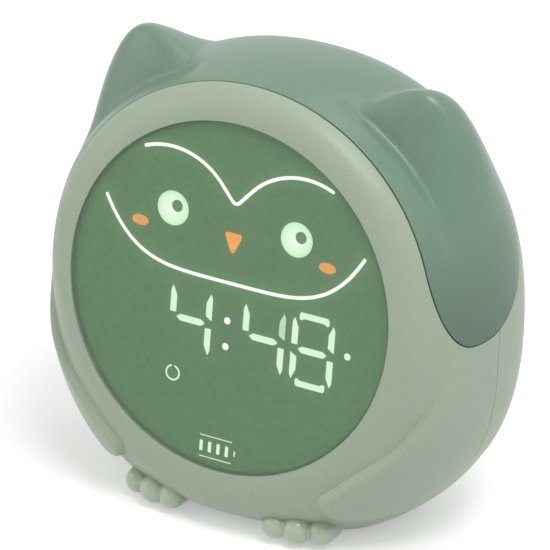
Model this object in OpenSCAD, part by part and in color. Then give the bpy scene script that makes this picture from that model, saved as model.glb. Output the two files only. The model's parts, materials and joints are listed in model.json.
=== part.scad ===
// Owl-shaped alarm clock with night light.
// A round leaning face with a segment display, a translucent hood with two ears over a
// night light, two toed feet, and a control panel with buttons on the back.
//
// Millimetres, +Z up, face towards -Y. Most pieces are drawn in the frame of the face:
// X to the right, Y into the clock (depth behind the lens), Z up the face, with its
// origin at the middle of the lens. face_frame() leans that frame back and places it.

/* [Face] */
// Diameter of the display lens
lens_d = 100; // [96:1:102]
// Thickness of the display lens
lens_t = 1.2; // [1:0.1:1.6]
// Gap round the lens
lens_gap = 0.35; // [0.2:0.05:0.6]
// Width of the bezel round the lens
bezel_w = 9.5; // [8.5:0.5:10.5]
// Depth over which the bezel rolls back
bezel_drop = 5.6; // [4.8:0.2:6.4]
// Extra width of the bezel at the chin
chin = 4.3; // [2:0.1:5]
// Backward lean of the face in degrees
tilt = 8.4; // [6:0.2:10]
// Height of the lens centre above the table
lens_z = 69.2; // [68.8:0.2:70]

/* [Body] */
// Radius of the body straight down
base_r = 68.2; // [67:0.2:70]
// Radius of the body 60 degrees below the horizontal
hip_r = 74.6; // [73:0.2:76]
// Radius of the body 30 degrees below the horizontal
flank_r = 73.9; // [72:0.2:76]
// Radius of the body at the sides
side_r = 69; // [67:0.2:72]
// Radius of the body 30 degrees above the horizontal
shoulder_r = 68; // [66:0.2:70]
// Radius of the body 60 degrees above the horizontal
brow_r = 66; // [65:0.2:68]
// Radius of the body straight up
crown_r = 64.1; // [63:0.2:66]
// Depth at which the body is widest
waist = 36.2; // [35:0.2:38]
// Depth of the rounded back behind the waist
back_len = 36.5; // [35:0.5:39]
// Squareness of the rounded back
back_n = 2.27; // [2.1:0.01:2.5]
// Wall thickness of the shells
wall = 2.3; // [1.8:0.1:2.6]
// Seam between the shells
seam = 0.3; // [0.2:0.05:0.4]
// Depth of the seam between the front and the rear housing
parting = 29.4; // [28:0.2:31]
// Height of the flat belly above the table
belly_z = 1.9; // [1.6:0.1:2.3]

/* [Hood and ears] */
// Height of the ears above the body
ear_h = 16.7; // [13:0.1:18]
// Angle of the ear tips above the horizontal
ear_a = 56; // [54:0.5:60]
// Angle over which the inner flank of an ear falls
ear_in = 8; // [7:0.2:10]
// Angle over which the outer flank of an ear falls
ear_out = 29; // [24:1:32]
// Depth of the front ridge of the ears
ear_w = 22; // [20.5:0.1:23]
// Depth of the steep front of the ears
ear_f = 5.8; // [5:0.1:7]
// Depth over which the ears fade backwards
ear_b = 29; // [26:0.5:31]
// Roundness of the ear tips
ear_round = 6.6; // [5:0.1:8]
// Outward slant of the ears, degrees for each millimetre of depth
ear_slant = 0.17; // [0:0.01:0.3]
// How far the ridge runs back on its way down, millimetres for each degree
ear_sweep = 0.25; // [0:0.01:0.4]
// Depth of the groove in front of the ears
ear_groove = 1.3; // [0:0.1:1.5]
// Angle of the hood's lowest point on each side
lobe_a = -2.3; // [-6:0.1:2]
// Depth of the hood's lowest point
lobe_w = 18.5; // [17:0.5:20]
// Depth of the hood's rear edge on the sides
hood_back = 45.5; // [44:0.5:47]
// How much further back that edge lies at the crown
hood_crown = 10; // [6:0.5:11]

/* [Wings and feet] */
// Height of the embossed wings
wing_h = 2.3; // [0:0.1:2.6]
// Angle of the wing tips
wing_tip = -62; // [-64:0.5:-60]
// Depth over which the wings fade backwards
wing_fade = 36; // [30:1:40]
// Width of the rounded edge of the wings
wing_edge = 3.2; // [2.4:0.1:4]
// Radius of the toes
toe_r = 4; // [3.6:0.1:4.2]
// Distance between neighbouring toes
toe_pitch = 6.4; // [6:0.1:7]
// Distance of the middle toes from the centre line
toe_x = 23; // [22:0.5:25]
// Distance of the middle toes in front of the lens centre
toe_y = 1.3; // [0:0.1:2]
// Thickness of the rubber pads
pad_t = 1.1; // [0.9:0.1:1.2]

/* [Display] */
// Thickness of the printed mask behind the lens
mask_t = 0.25; // [0.2:0.05:0.4]
// Radius of the segment frame
frame_r = 48.6; // [48.4:0.1:48.8]
// Depth of the segment frame
frame_t = 6.8; // [6:0.2:8]
// Height of a digit between the middles of its bars
digit_h = 19.4; // [18:0.2:20]
// Width of a digit between the middles of its bars
digit_w = 11.3; // [10.6:0.1:11.5]
// Width of a bar
bar_w = 1.9; // [1.6:0.1:2.1]
// Distance of the inner digits from the centre line
digit_x = 11.5; // [11:0.1:12]
// Distance between neighbouring digits
digit_pitch = 15.3; // [15:0.1:16]
// Depth of the light guides
guide_t = 3; // [2:0.2:4]
// Clearance of the light guides in their cells
guide_gap = 0.1; // [0.05:0.01:0.15]
// Width of the glowing lines
line_w = 1.1; // [0.8:0.1:1.4]
// Radius of the eyes
eye_r = 4.9; // [4.5:0.1:5.2]
// Distance of the eyes from the centre line
eye_x = 19.4; // [19:0.1:20]
// Height of the eyes on the face
eye_z = 21.6; // [21:0.1:22]
// Thickness of the circuit boards
board_t = 1.6; // [1:0.1:2]
// Thickness of the inner frame plate
plate_t = 2; // [1.6:0.1:2.4]

/* [Back] */
// Radius of the control panel
panel_r = 33.7; // [33:0.1:34.4]
// Thickness of the control panel
panel_t = 2.4; // [2:0.1:2.8]
// Gap round the control panel
panel_gap = 0.3; // [0.2:0.05:0.4]
// Radius of the push buttons
button_r = 3.4; // [3:0.1:3.5]
// Running clearance of the push buttons
button_gap = 0.15; // [0.1:0.01:0.2]
// Distance between the push buttons
button_pitch = 9.3; // [9.2:0.1:9.4]
// How far the push buttons stand out
button_out = 1.2; // [0.9:0.1:1.6]
// Radius of the speaker
speaker_r = 12.4; // [11.6:0.1:12.4]
// Diameter of the battery cell
cell_d = 18.3; // [14:0.1:18.5]
// Length of the battery cell
cell_l = 65; // [50:1:65]

/* [Hidden] */

$fn = 48;
housing_c = [0.72, 0.78, 0.68];
hood_c = [0.45, 0.58, 0.52];
white_c = [0.93, 0.94, 0.9];
glow_c = [0.8, 1, 0.82];
board_c = [0.12, 0.35, 0.22];
steel_c = [0.75, 0.76, 0.78];
dark_c = [0.13, 0.14, 0.15];
orange_c = [1, 0.55, 0.25];

lens_r = lens_d / 2;
body_r = [base_r, hip_r, flank_r, side_r, shoulder_r, brow_r, crown_r];
body_step = 180 / (len(body_r) - 1);

// ---- Form of the body -----------------------------------------------------------------
// A place on the body is [a, q]: a is the angle round the lens axis, from +X towards up,
// and q is the depth behind the lens plane. For q below bezel_drop it runs over the bezel.

function clamp01(x) = max(0, min(1, x));
function smooth(x) = let(c = clamp01(x)) c * c * (3 - 2 * c);
function mix(a, b, t) = a + (b - a) * t;
// Height angle of a place, alike on the left and the right side
function rise(a) = asin(sin(a));
// Catmull-Rom curve through the radii in body_r, level at both ends
function body_curve(x) =
    let(n = len(body_r), i = max(0, min(n - 2, floor(x))), t = x - i,
        p0 = body_r[i == 0 ? 1 : i - 1], p1 = body_r[i], p2 = body_r[i + 1],
        p3 = body_r[i + 2 > n - 1 ? n - 2 : i + 2])
    p1 + 0.5 * t * (p2 - p0 + t * (2 * p0 - 5 * p1 + 4 * p2 - p3 + t * (3 * (p1 - p2) + p3 - p0)));
function girth(a) = body_curve((rise(a) + 90) / body_step);
// 0 on the upper half, 1 at the chin
function lowness(a) = smooth((-rise(a) - 10) / 60);
function rim_r(a) = lens_r + bezel_w + chin * lowness(a);
function swell(a) = 2 + 1.3 * lowness(a);
function plain_r(a, q) = q < waist
    ? rim_r(a) + (girth(a) - rim_r(a))
        * (1 - pow((waist - q) / (waist - bezel_drop), swell(a)))
    : girth(a) * pow(max(0, 1 - pow((q - waist) / back_len, back_n)), 1 / back_n);

// Ears: a ridge that is steep in front, fades backwards and leans out to the shoulders
function ear_ridge(a, q) =
    let(s = rise(a) - ear_a + ear_slant * max(0, q - ear_w),
        inner = ear_h * (1 - s / ear_in), outer = ear_h * (1 + s / ear_out),
        h = -ear_round * ln(exp(-inner / ear_round) + exp(-outer / ear_round)))
    (h + sqrt(h * h + 4)) / 2;
// Depth of the ridge, which runs back on its way down
function ear_top(e) = ear_w + ear_sweep * max(0, ear_a - e);
function ear(a, q) = let(top = ear_top(rise(a))) ear_ridge(a, q)
    * (q < top ? pow(1 - pow(clamp01((top - q) / (top - ear_w + ear_f)), 2.2), 0.8)
               : 1 - smooth((q - top) / max(10, ear_w + ear_b - top)));
function groove(a, q) = -ear_groove * exp(-pow((q - ear_w + ear_f) / 3, 2))
    * smooth((rise(a) - 12) / 18) * (1 - smooth((rise(a) - 62) / 10));

// Wings: a feather low on each side that lies on the skin, with a rounded edge and tip
function wing_front(e) = bezel_drop - 1.7 + 8.2 * pow(clamp01((e + 50) / 42.5), 1.8);
function wing_back(e) = 5 + 25 * pow(clamp01((e + 61.5) / 28), 0.9) + 30 * smooth((e + 36) / 10);
// About how far from the lens a depth is, along the skin low on the body
function run(q) = 2.2 * min(q, bezel_drop) + 1.4 * max(0, q - bezel_drop);
function wing(a, q) =
    let(e = rise(a),
        inside = [run(q) - run(wing_front(e)), (run(wing_back(e)) - run(q)) / 1.5, e - wing_tip],
        far = pow(pow(max(inside[0], 0.01), -2) + pow(max(inside[1], 0.01), -2)
            + pow(max(inside[2], 0.01), -2), -0.5))
    wing_h * (1 - pow(1 - clamp01(far / wing_edge), 2.4)) * (1 - smooth((e + 26) / 22))
    * (1 - smooth((q - 12) / wing_fade));

function skin_r(a, q) = plain_r(a, q) + ear(a, q) + groove(a, q);
// Slope of the side where it leaves the bezel
function rim_slope(a) = swell(a) * (girth(a) - rim_r(a)) / (waist - bezel_drop);
// The bezel is a curve from the lens edge, level there, to the slope of the side
function knee(a) = skin_r(a, bezel_drop) - rim_slope(a) * bezel_drop;
function bezel(a, b) =
    [(1 - b) * (1 - b) * lens_r + 2 * b * (1 - b) * knee(a) + b * b * skin_r(a, bezel_drop),
     b * b * bezel_drop];
// The way the skin faces: 90 is forwards, 0 is outwards
function lean(a, q) = q < bezel_drop
    ? let(b = q / bezel_drop)
        atan2((1 - b) * (knee(a) - lens_r) + b * rim_slope(a) * bezel_drop, b * bezel_drop)
    : atan(rim_slope(a)) * (1 - smooth((q - bezel_drop) / 10));
function skin(a, q) =
    let(s = q < bezel_drop ? bezel(a, q / bezel_drop) : [skin_r(a, q), q],
        h = wing(a, q), r = h == 0 ? s[0] : s[0] + h * cos(lean(a, q)))
    [r * cos(a), h == 0 ? s[1] : s[1] - h * sin(lean(a, q)), r * sin(a)];

// The depth of the clock, which centres it on the origin
front_y = min([for (b = [0:0.1:1]) let(s = bezel(-90, b)) s[1] * cos(tilt) - s[0] * sin(tilt)]);
hole_r = panel_r + panel_gap;
function rim_at(a, r) = waist + back_len * pow(1 - pow(r / girth(a), back_n), 1 / back_n);
function rear_rim(a) = rim_at(a, hole_r);
rear_y = max([for (a = [0:10:90]) rear_rim(a) * cos(tilt) + hole_r * sin(a) * sin(tilt)]);
face_y = -(front_y + rear_y) / 2;

function place(p) = [p[0], face_y + p[1] * cos(tilt) + p[2] * sin(tilt),
                     lens_z + p[2] * cos(tilt) - p[1] * sin(tilt)];
function above(p, z) = [p[0], p[1], max(p[2], z)];
function unit(v) = v / norm(v);
function skin_normal(a, q) = let(d = 0.4)
    unit(cross(place(skin(a, q + d)) - place(skin(a, max(0, q - d))),
               place(skin(a + d, q)) - place(skin(a - d, q))));
// A point t under the outer skin, on the flat belly where the body would reach below it
function under_skin(a, q, t) = t == 0
    ? above(place(skin(a, q)), belly_z)
    : above(place(skin(a, q)) - t * skin_normal(a, q), belly_z + t);

module face_frame() translate([0, face_y, lens_z]) rotate([-tilt, 0, 0]) children();
// A shape drawn on the XY plane, seen from the front, and set from depth w0 to w1
module slab(w0, w1) translate([0, w1, 0]) rotate([90, 0, 0]) linear_extrude(w1 - w0) children();
// A round bar along the depth
module bar(x, z, r, w0, w1, r2 = 0) translate([x, w0, z]) rotate([-90, 0, 0])
    cylinder(r1 = r, r2 = r2 > 0 ? r2 : r, h = w1 - w0);
module tube(x, z, r, bore, w0, w1) difference() {
    bar(x, z, r, w0, w1);
    bar(x, z, bore, w0 - 1, w1 + 1);
}
module block(x, w, z, sx, sw, sz) translate([x - sx / 2, w, z - sz / 2]) cube([sx, sw, sz]);

// ---- Shells ---------------------------------------------------------------------------
// A shell is a grid of places, rows by columns, with the outer skin on one side and the
// same grid under the wall on the other. inner_rows picks the rows of the inner side.

module shell(grid, inner_rows, closed = false) {
    n = len(grid[0]);
    m = len(grid);
    k = len(inner_rows);
    outer = [for (row = grid) for (p = row) under_skin(p[0], p[1], 0)];
    inner = [for (i = inner_rows) for (p = grid[i]) under_skin(p[0], p[1], wall)];
    cols = closed ? n : n - 1;
    out = function(i, j) i * n + j % n;
    inn = function(i, j) m * n + i * n + j % n;
    faces = concat(
        [for (i = [0:m - 2]) for (j = [0:cols - 1])
            for (f = [[out(i, j), out(i, j + 1), out(i + 1, j + 1)],
                      [out(i, j), out(i + 1, j + 1), out(i + 1, j)]]) f],
        [for (i = [0:k - 2]) for (j = [0:cols - 1])
            for (f = [[inn(i, j), inn(i + 1, j + 1), inn(i, j + 1)],
                      [inn(i, j), inn(i + 1, j), inn(i + 1, j + 1)]]) f],
        [for (j = [0:cols - 1]) for (f = [[out(0, j), inn(0, j), inn(0, j + 1)],
                                          [out(0, j), inn(0, j + 1), out(0, j + 1)],
                                          [out(m - 1, j), inn(k - 1, j + 1), inn(k - 1, j)],
                                          [out(m - 1, j), out(m - 1, j + 1), inn(k - 1, j + 1)]]) f],
        closed ? [] : concat(
            [side_fan([for (i = [0:m - 1]) out(i, 0)], [for (i = [k - 1:-1:0]) inn(i, 0)])],
            [side_fan([for (i = [m - 1:-1:0]) out(i, n - 1)], [for (i = [0:k - 1]) inn(i, n - 1)])]));
    polyhedron(concat(outer, inner), faces);
}
function side_fan(a, b) = concat(a, b);

// Edges of the hood, by height angle e
lobe_front_a = 20;
lobe_rear_a = 24;
function ellipse_01(u) = sqrt(max(0, 1 - u * u));
function hood_front(e) = bezel_drop + 0.5 + (lobe_w - bezel_drop)
    * (1 - ellipse_01(clamp01((lobe_front_a - e) / (lobe_front_a - lobe_a))));
function hood_rear(e) = lobe_w
    + (hood_back - lobe_w) * ellipse_01(clamp01((lobe_rear_a - e) / (lobe_rear_a - lobe_a)))
    + hood_crown * pow(sin(90 * clamp01((e - 25) / 65)), 1.5);
// Height angle at which the parting seam meets the hood
meet_a = lobe_rear_a - (lobe_rear_a - lobe_a) * ellipse_01((parting - lobe_w) / (hood_back - lobe_w));

// Both sides of the body from one list for the right side, from low to high
function both_sides(list) = concat(
    [for (p = list) p],
    [for (i = [len(list) - 2:-1:1]) let(p = list[i]) [for (j = [0:len(p) - 1]) j < len(p) - 1
        ? 180 - p[j] : p[j]]]);

// Depth of a row of the hood at height angle e: f runs up to the crease in front of the ear,
// k on to its ridge, and g from there to the rear edge
function hood_row(e, f, k, g) =
    let(front = hood_front(e) + seam, rear = hood_rear(e) - 1.5 * seam, crease = ear_w - ear_f)
    mix(mix(front, rear, 0.2 * f + 0.25 * k + 0.55 * g),
        mix(front, crease, f) + k * (ear_top(e) - crease) + g * (rear - ear_top(e)),
        smooth((e - 8) / 16));
// The columns lean outwards with the ears
function ear_lean(e, q) = ear_slant * max(0, q - ear_w)
    * smooth((e - lobe_rear_a) / 18) * (1 - smooth((e - 64) / 24));
function hood_place(e, r, n = 3) = n == 0
    ? [e, hood_row(e, r[0], r[1], r[2])]
    : let(p = hood_place(e, r, n - 1), a = e - ear_lean(e, p[1])) [a, hood_row(a, r[0], r[1], r[2])];
module hood_shell() {
    low = lobe_a + 0.45;
    es = concat([for (k = [0:7]) low + (lobe_rear_a - low) * (1 - cos(90 * k / 8))],
                [for (e = [lobe_rear_a:2.2:89]) e]);
    rows = concat([for (f = [0, 0.4, 0.7, 0.87, 1]) [f, 0, 0]],
                  [for (k = [0.1, 0.27, 0.5, 0.75, 1]) [1, k, 0]],
                  [for (g = [0.13, 0.32, 0.62, 1]) [1, 1, g]]);
    grid = [for (r = rows) let(half = [for (e = es) hood_place(e, r)])
        concat(half, [[90, hood_row(90, r[0], r[1], r[2])]],
               [for (i = [len(half) - 1:-1:0]) [180 - half[i][0], half[i][1]]])];
    shell(grid, [0, 2, 4, 6, 8, 10, 13]);
}

// Columns of the front housing: [angle on the bezel, angle at the edge, depth of the edge]
function front_columns() = both_sides(concat(
    [for (e = [-90, -86, -82, -78, -74, -70.5, -67, -64.4, -62.6, -61.4, -60.2, -58.4, -56, -53, -49.5,
               -46, -42, -38, -34, -30.5, -27, -23]) [e, e, parting]],
    [for (t = [0:0.2:1]) [mix(-20, -9, t), mix(-20, meet_a, t), parting]],
    [for (t = [0.25:0.25:0.75]) let(e = mix(meet_a, lobe_a, t)) [mix(-9, -6, t), e, hood_rear(e)]],
    [for (t = [0:0.125:1]) let(e = lobe_front_a - (lobe_front_a - lobe_a) * cos(90 * t))
        [mix(-6, lobe_front_a, 1 - cos(90 * t)), e, hood_front(e)]],
    [for (e = [24.3:4.38:90]) [e, e, hood_front(e)]]));
// Depth of a row at a column: before the crease in front of the wing, across it, behind it
function front_row(c, r) =
    let(k1 = min(wing_front(rise(mix(c[0], c[1], 0.25))), 0.62 * c[2]),
        k2 = min(k1 + 1.9, 0.8 * c[2]))
    r[0] * k1 + r[1] * (k2 - k1) + (len(r) > 2 ? r[2] * (c[2] - k2) : 0);
function front_grid() =
    let(rows = [[0, 0], [0.06, 0], [0.2, 0], [0.42, 0], [0.7, 0], [1, 0], [1, 0.35], [1, 1],
                [1, 1, 0.15], [1, 1, 0.35], [1, 1, 0.65], [1, 1, 1]])
    [for (r = rows) [for (c = front_columns()) let(q = front_row(c, r))
        [mix(c[0], c[1], max(0, (q - bezel_drop) / (c[2] - bezel_drop))), q]]];
module front_shell() shell(front_grid(), [0, 3, 5, 7, 9, 11], closed = true);
// The same skin filled, for cutting the feet to it
module front_plug() {
    grid = front_grid();
    n = len(grid[0]);
    m = len(grid);
    pts = concat([for (row = grid) for (p = row) under_skin(p[0], p[1], 0)],
                 [place([0, 0, 0]), place([0, parting, 0])]);
    polyhedron(pts, concat(
        [for (i = [0:m - 2]) for (j = [0:n - 1])
            for (f = [[i * n + j, i * n + (j + 1) % n, (i + 1) * n + (j + 1) % n],
                      [i * n + j, (i + 1) * n + (j + 1) % n, (i + 1) * n + j]]) f],
        [for (j = [0:n - 1]) for (f = [[(j + 1) % n, j, m * n],
            [(m - 1) * n + j, (m - 1) * n + (j + 1) % n, m * n + 1]]) f]));
}

// Columns of the rear housing: [angle, depth of its front edge]
function rear_columns() = both_sides(concat(
    [for (e = [-90:5:-45]) [e, parting + seam]],
    [for (e = [-42, -38, -34, -30.5, -27, -23, -20, -16, -12, -8, -4]) [e, parting + seam]],
    [for (t = [0:0.125:1]) let(e = mix(meet_a, lobe_rear_a, 1 - cos(90 * t))) [e, hood_rear(e)]],
    [for (e = [29.3:5.05:90]) [e, hood_rear(e)]]));
module rear_shell() {
    steps = [0, 0.12, 0.24, 0.36, 0.48, 0.6, 0.7, 0.8, 0.9, 1];
    grid = [for (s = steps) [for (c = rear_columns())
        [c[0], mix(c[1], rim_at(c[0], hole_r - 1.2), 1 - pow(1 - s, 1.7))]]];
    shell(grid, [0, 2, 4, 6, 8, 9], closed = true);
}

// The body filled up to the depth t under its skin, for trimming what lies in it. With a
// negative t it is larger than the body, except at the flat belly.
module body_solid(t) {
    as = [for (a = [0:6:354]) a];
    qs = [0.02, 3, 5.6, 8, 11, 15, 19, 24, 30, 37, 46, 54, 60, 65, 69];
    pts = [for (q = qs) for (a = as) above(under_skin(a, q, t), belly_z)];
    n = len(as);
    m = len(qs);
    polyhedron(pts, concat(
        [for (i = [0:m - 2]) for (j = [0:n - 1])
            for (f = [[i * n + j, i * n + (j + 1) % n, (i + 1) * n + (j + 1) % n],
                      [i * n + j, (i + 1) * n + (j + 1) % n, (i + 1) * n + j]]) f],
        [[for (j = [n - 1:-1:0]) j], [for (j = [0:n - 1]) (m - 1) * n + j]]));
}

// ---- Depths of the inner pieces, behind the lens plane --------------------------------

lens_w = 0.1;
mask_w = lens_w + lens_t;
mask_r = lens_r - lens_gap - 0.1;
frame_w = mask_w + mask_t;
ledge_t = 1.8;
board_w = frame_w + frame_t;
plate_w = board_w + board_t;
plate_back = plate_w + plate_t;
tab_r = 50.6;
tab_pad_r = 3;
tab_as = [45, 135, 225, 315];

panel_back = min([for (a = [0:5:90]) rear_rim(a)]) - 0.3 - panel_t;
panel_face = panel_back + panel_t;
hole_turn = 2.5; // sets the corners of the round opening between the columns of the shell
lug_r = 29.8;
ledge_in = 31.6;
main_w = panel_back - 7.9;
main_back = main_w + board_t;
button_z = -9;
switch_z = -19.6;

screw_posts = [[-27, 61], [207, 61], [30, 54], [150, 54]];
post_r = 3.4;
thread_l = 6;
screw_r = 1.25;

module front_housing() color(housing_c) difference() {
    union() {
        front_shell();
        intersection() {
            body_solid(wall / 2);
            face_frame() {
                // Ledge that the lens and the mask sit on, joined to the wall outside it
                slab(frame_w, frame_w + ledge_t) difference() {
                    circle(lens_r + 3, $fn = 72);
                    circle(frame_r + 0.2, $fn = 72);
                }
                $fn = 20;
                // Bosses for the display, braced to the wall
                for (a = tab_as) hull() {
                    bar(tab_r * cos(a), tab_r * sin(a), tab_pad_r, frame_w + 1, board_w);
                    bar((tab_r + 5) * cos(a), (tab_r + 5) * sin(a), 1.2, frame_w + 1, frame_w + 3);
                }
                // Posts that take the screws from the rear housing, braced to the wall in front
                for (p = screw_posts) {
                    w0 = low_post(p) ? 7 : 2;
                    w1 = low_post(p) ? 16 : 6;
                    bar(p[1] * cos(p[0]), p[1] * sin(p[0]), post_r, low_post(p) ? 12 : 3, post_end(p));
                    hull() {
                        bar(p[1] * cos(p[0]), p[1] * sin(p[0]), post_r, low_post(p) ? 12 : 3, w1);
                        bar((p[1] + 4) * cos(p[0]), (p[1] + 4) * sin(p[0]), 1, w0, w1);
                    }
                }
            }
        }
    }
    $fn = 12;
    face_frame() {
        for (a = tab_as) bar(tab_r * cos(a), tab_r * sin(a), screw_r, board_w - 4, board_w + 1);
        for (p = screw_posts)
            bar(p[1] * cos(p[0]), p[1] * sin(p[0]), screw_r, post_end(p) - thread_l, post_end(p) + 1);
    }
}
function low_post(p) = sin(p[0]) < 0;
function post_end(p) = low_post(p) ? parting : hood_back - 4;

module rear_housing() color(housing_c) difference() {
    union() {
        rear_shell();
        intersection() {
            body_solid(wall / 2);
            face_frame() {
                // Seat of the control panel
                slab(panel_back - 1.8, panel_face + 1) rotate(hole_turn) difference() {
                    circle(hole_r + 3, $fn = 72);
                    circle(ledge_in, $fn = 72);
                }
                $fn = 20;
                for (a = [0:90:270]) hull() {
                    bar(lug_r * cos(a), lug_r * sin(a), 2.4, panel_back - 6, panel_back);
                    bar((lug_r + 4) * cos(a), (lug_r + 4) * sin(a), 2.4, panel_back - 3, panel_back - 1);
                }
                // Screw tubes, each with a web to the wall
                for (p = screw_posts) hull() {
                    bar(p[1] * cos(p[0]), p[1] * sin(p[0]), post_r, post_end(p), panel_face);
                    bar((p[1] + 4) * cos(p[0]), (p[1] + 4) * sin(p[0]), 1, post_end(p) + 7, panel_face);
                }
            }
        }
    }
    face_frame() {
        rotate([0, hole_turn, 0]) bar(0, 0, hole_r, panel_back, panel_face + 9, $fn = 72);
        for (a = [0:90:270])
            bar(lug_r * cos(a), lug_r * sin(a), screw_r, panel_back - 5, panel_back + 1, $fn = 12);
        for (p = screw_posts) {
            bar(p[1] * cos(p[0]), p[1] * sin(p[0]), 2.4, post_end(p) + 4, panel_face + 4, $fn = 20);
            bar(p[1] * cos(p[0]), p[1] * sin(p[0]), screw_r, post_end(p) - 1, panel_face, $fn = 12);
        }
    }
}
module hood() color(hood_c) {
    hood_shell();
    // Hooks that snap behind the rims of the housings
    intersection() {
        body_solid(wall / 2);
        union() {
            for (a = [40, 56, 74, 90, 106, 124, 140]) hook(a, hood_front(rise(a)) + 2.6, -1);
            for (a = [42, 66, 90, 114, 138]) hook(a, hood_rear(rise(a)) - 4.2, 1);
        }
    }
}
// A hook under the wall at angle a and depth q that reaches in the direction d
module hook(a, q, d) {
    r = skin_r(a, q) - wall;
    face_frame() hull() {
        translate([r * cos(a), q, r * sin(a)]) rotate([0, -a, 0]) cube([2.6, 3, 5], center = true);
        translate([(r - 2.4) * cos(a), q, (r - 2.4) * sin(a)])
            rotate([0, -a, 0]) cube([1, 1.6, 5], center = true);
    }
}

// ---- Display --------------------------------------------------------------------------

module display_lens() color([0.25, 0.4, 0.3, 0.6]) face_frame()
    translate([0, lens_w, 0]) rotate([-90, 0, 0]) rotate_extrude($fn = 96)
        polygon([[0, 0], [lens_r - lens_gap - 0.3, 0], [lens_r - lens_gap, 0.3],
                 [lens_r - lens_gap, lens_t], [0, lens_t]]);

// A bar of a digit: a long hexagon, flat at the ends f0 and f1 where they are 1
module digit_bar(cx, cz, l, upright, g) {
    h = bar_w / 2 + g;
    e = l / 2 + g;
    pts = [[-e, 0], [-e + h, h], [e - h, h], [e, 0], [e - h, -h], [-e + h, -h]];
    polygon([for (p = pts) upright ? [cx + p[1], cz + p[0]] : [cx + p[0], cz + p[1]]]);
}
// Seven bars of a digit in the order top, upper right, lower right, bottom, lower left,
// upper left, middle
module digit(cx, g) {
    up = digit_h / 2;
    side = digit_w / 2;
    l_up = up - 2.2;
    l_flat = digit_w - 2.3;
    for (z = [up, 0, -up]) digit_bar(cx, digit_z + z, l_flat, false, g);
    for (x = [-side, side]) for (z = [-1, 1])
        digit_bar(cx + x, digit_z + z * (up / 2 + 0.1), l_up, true, g);
}
digit_z = -8.9;
colon_z = -10.1;
digit_xs = [-digit_x - digit_pitch, -digit_x, digit_x, digit_x + digit_pitch];
module digits(g) {
    for (x = digit_xs) digit(x, g);
    for (z = [-3.75, 3.75]) translate([0, colon_z + z]) circle(1 + g, $fn = 24);
}

// A line of even width with round ends along a list of points
module line(pts, w) {
    n = len(pts);
    dir = [for (i = [0:n - 1]) let(v = pts[min(n - 1, i + 1)] - pts[max(0, i - 1)]) v / norm(v)];
    side = [for (v = dir) [-v[1], v[0]] * w / 2];
    cap = function(p, v, s) [for (b = [75:-30:-75]) p + (v * cos(b) + s * sin(b)) * w / 2];
    polygon(concat(
        [for (i = [0:n - 1]) pts[i] + side[i]],
        cap(pts[n - 1], dir[n - 1], [-dir[n - 1][1], dir[n - 1][0]]),
        [for (i = [n - 1:-1:0]) pts[i] - side[i]],
        cap(pts[0], -dir[0], [dir[0][1], -dir[0][0]])));
}
brow_c = [21, 17];
brow_rad = 22;
brow_line = concat(
    [for (b = [68:8:140]) [brow_c[0] + brow_rad * cos(b), brow_c[1] + brow_rad * sin(b)]],
    [for (b = [-60:30:60]) [-1.6 * sin(b), 28.9 - 1.6 * cos(b)]],
    [for (b = [40:8:112]) [-brow_c[0] + brow_rad * cos(b), brow_c[1] + brow_rad * sin(b)]]);
cheek_line_x = 40.4;
cheek_line = [for (k = [-12:12]) let(x = cheek_line_x * sin(7.5 * k))
    [x, 4.5 + 16.3 * pow(abs(x) / cheek_line_x, 4.4)]];
module face_lines(g) {
    line(brow_line, line_w + 2 * g);
    line(cheek_line, line_w + 2 * g);
    for (s = [-1, 1]) translate([s * eye_x, eye_z]) circle(eye_r + g);
}

cheek = [29.4, 15.9];
module cheeks(g) for (s = [-1, 1])
    polygon([for (b = [0:15:345]) [s * cheek[0] + (2.6 + g) * cos(b), cheek[1] + (1.5 + g) * sin(b)]]);
// A small rounded triangle that points down: [x, z, first angle, last angle] of its corners
beak_corners = [[1.8, 18.1, -24, 90], [-1.8, 18.1, 90, 204], [0, 14.1, 204, 336]];
module beak(g) polygon([for (c = beak_corners) for (k = [0:6])
    let(b = mix(c[2], c[3], k / 6)) [c[0] + (0.8 + g) * cos(b), c[1] + (0.8 + g) * sin(b)]]);

icon_x = -5.3;
icon_z = -44;
module icons(g) {
    // Charge bars in their frame
    for (k = [0:3]) translate([icon_x + 2.7 * k, icon_z]) square([1.1 + 2 * g, 3 + 2 * g], center = true);
    for (z = [-3.1, 3.1]) translate([-0.7, icon_z + z]) square([10.2, 0.5 + 2 * g], center = true);
    translate([5.3, icon_z]) square([0.6 + 2 * g, 1.6 + 2 * g], center = true);
    // A round mark beside the digits and a clock mark below them
    translate([37.6, -7.4]) circle(1.2 + g, $fn = 24);
    translate([-15.9, -25.4]) difference() {
        circle(2.4 + g, $fn = 36);
        circle(1.7 - g, $fn = 36);
        translate([-0.4 + g, 0]) square([0.8 - 2 * g, 4]);
    }
}

module display_mask() color(dark_c) face_frame() slab(mask_w, frame_w) difference() {
    circle(mask_r);
    digits(0);
    face_lines(0);
    cheeks(0);
    beak(0);
    icons(0);
}
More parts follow.
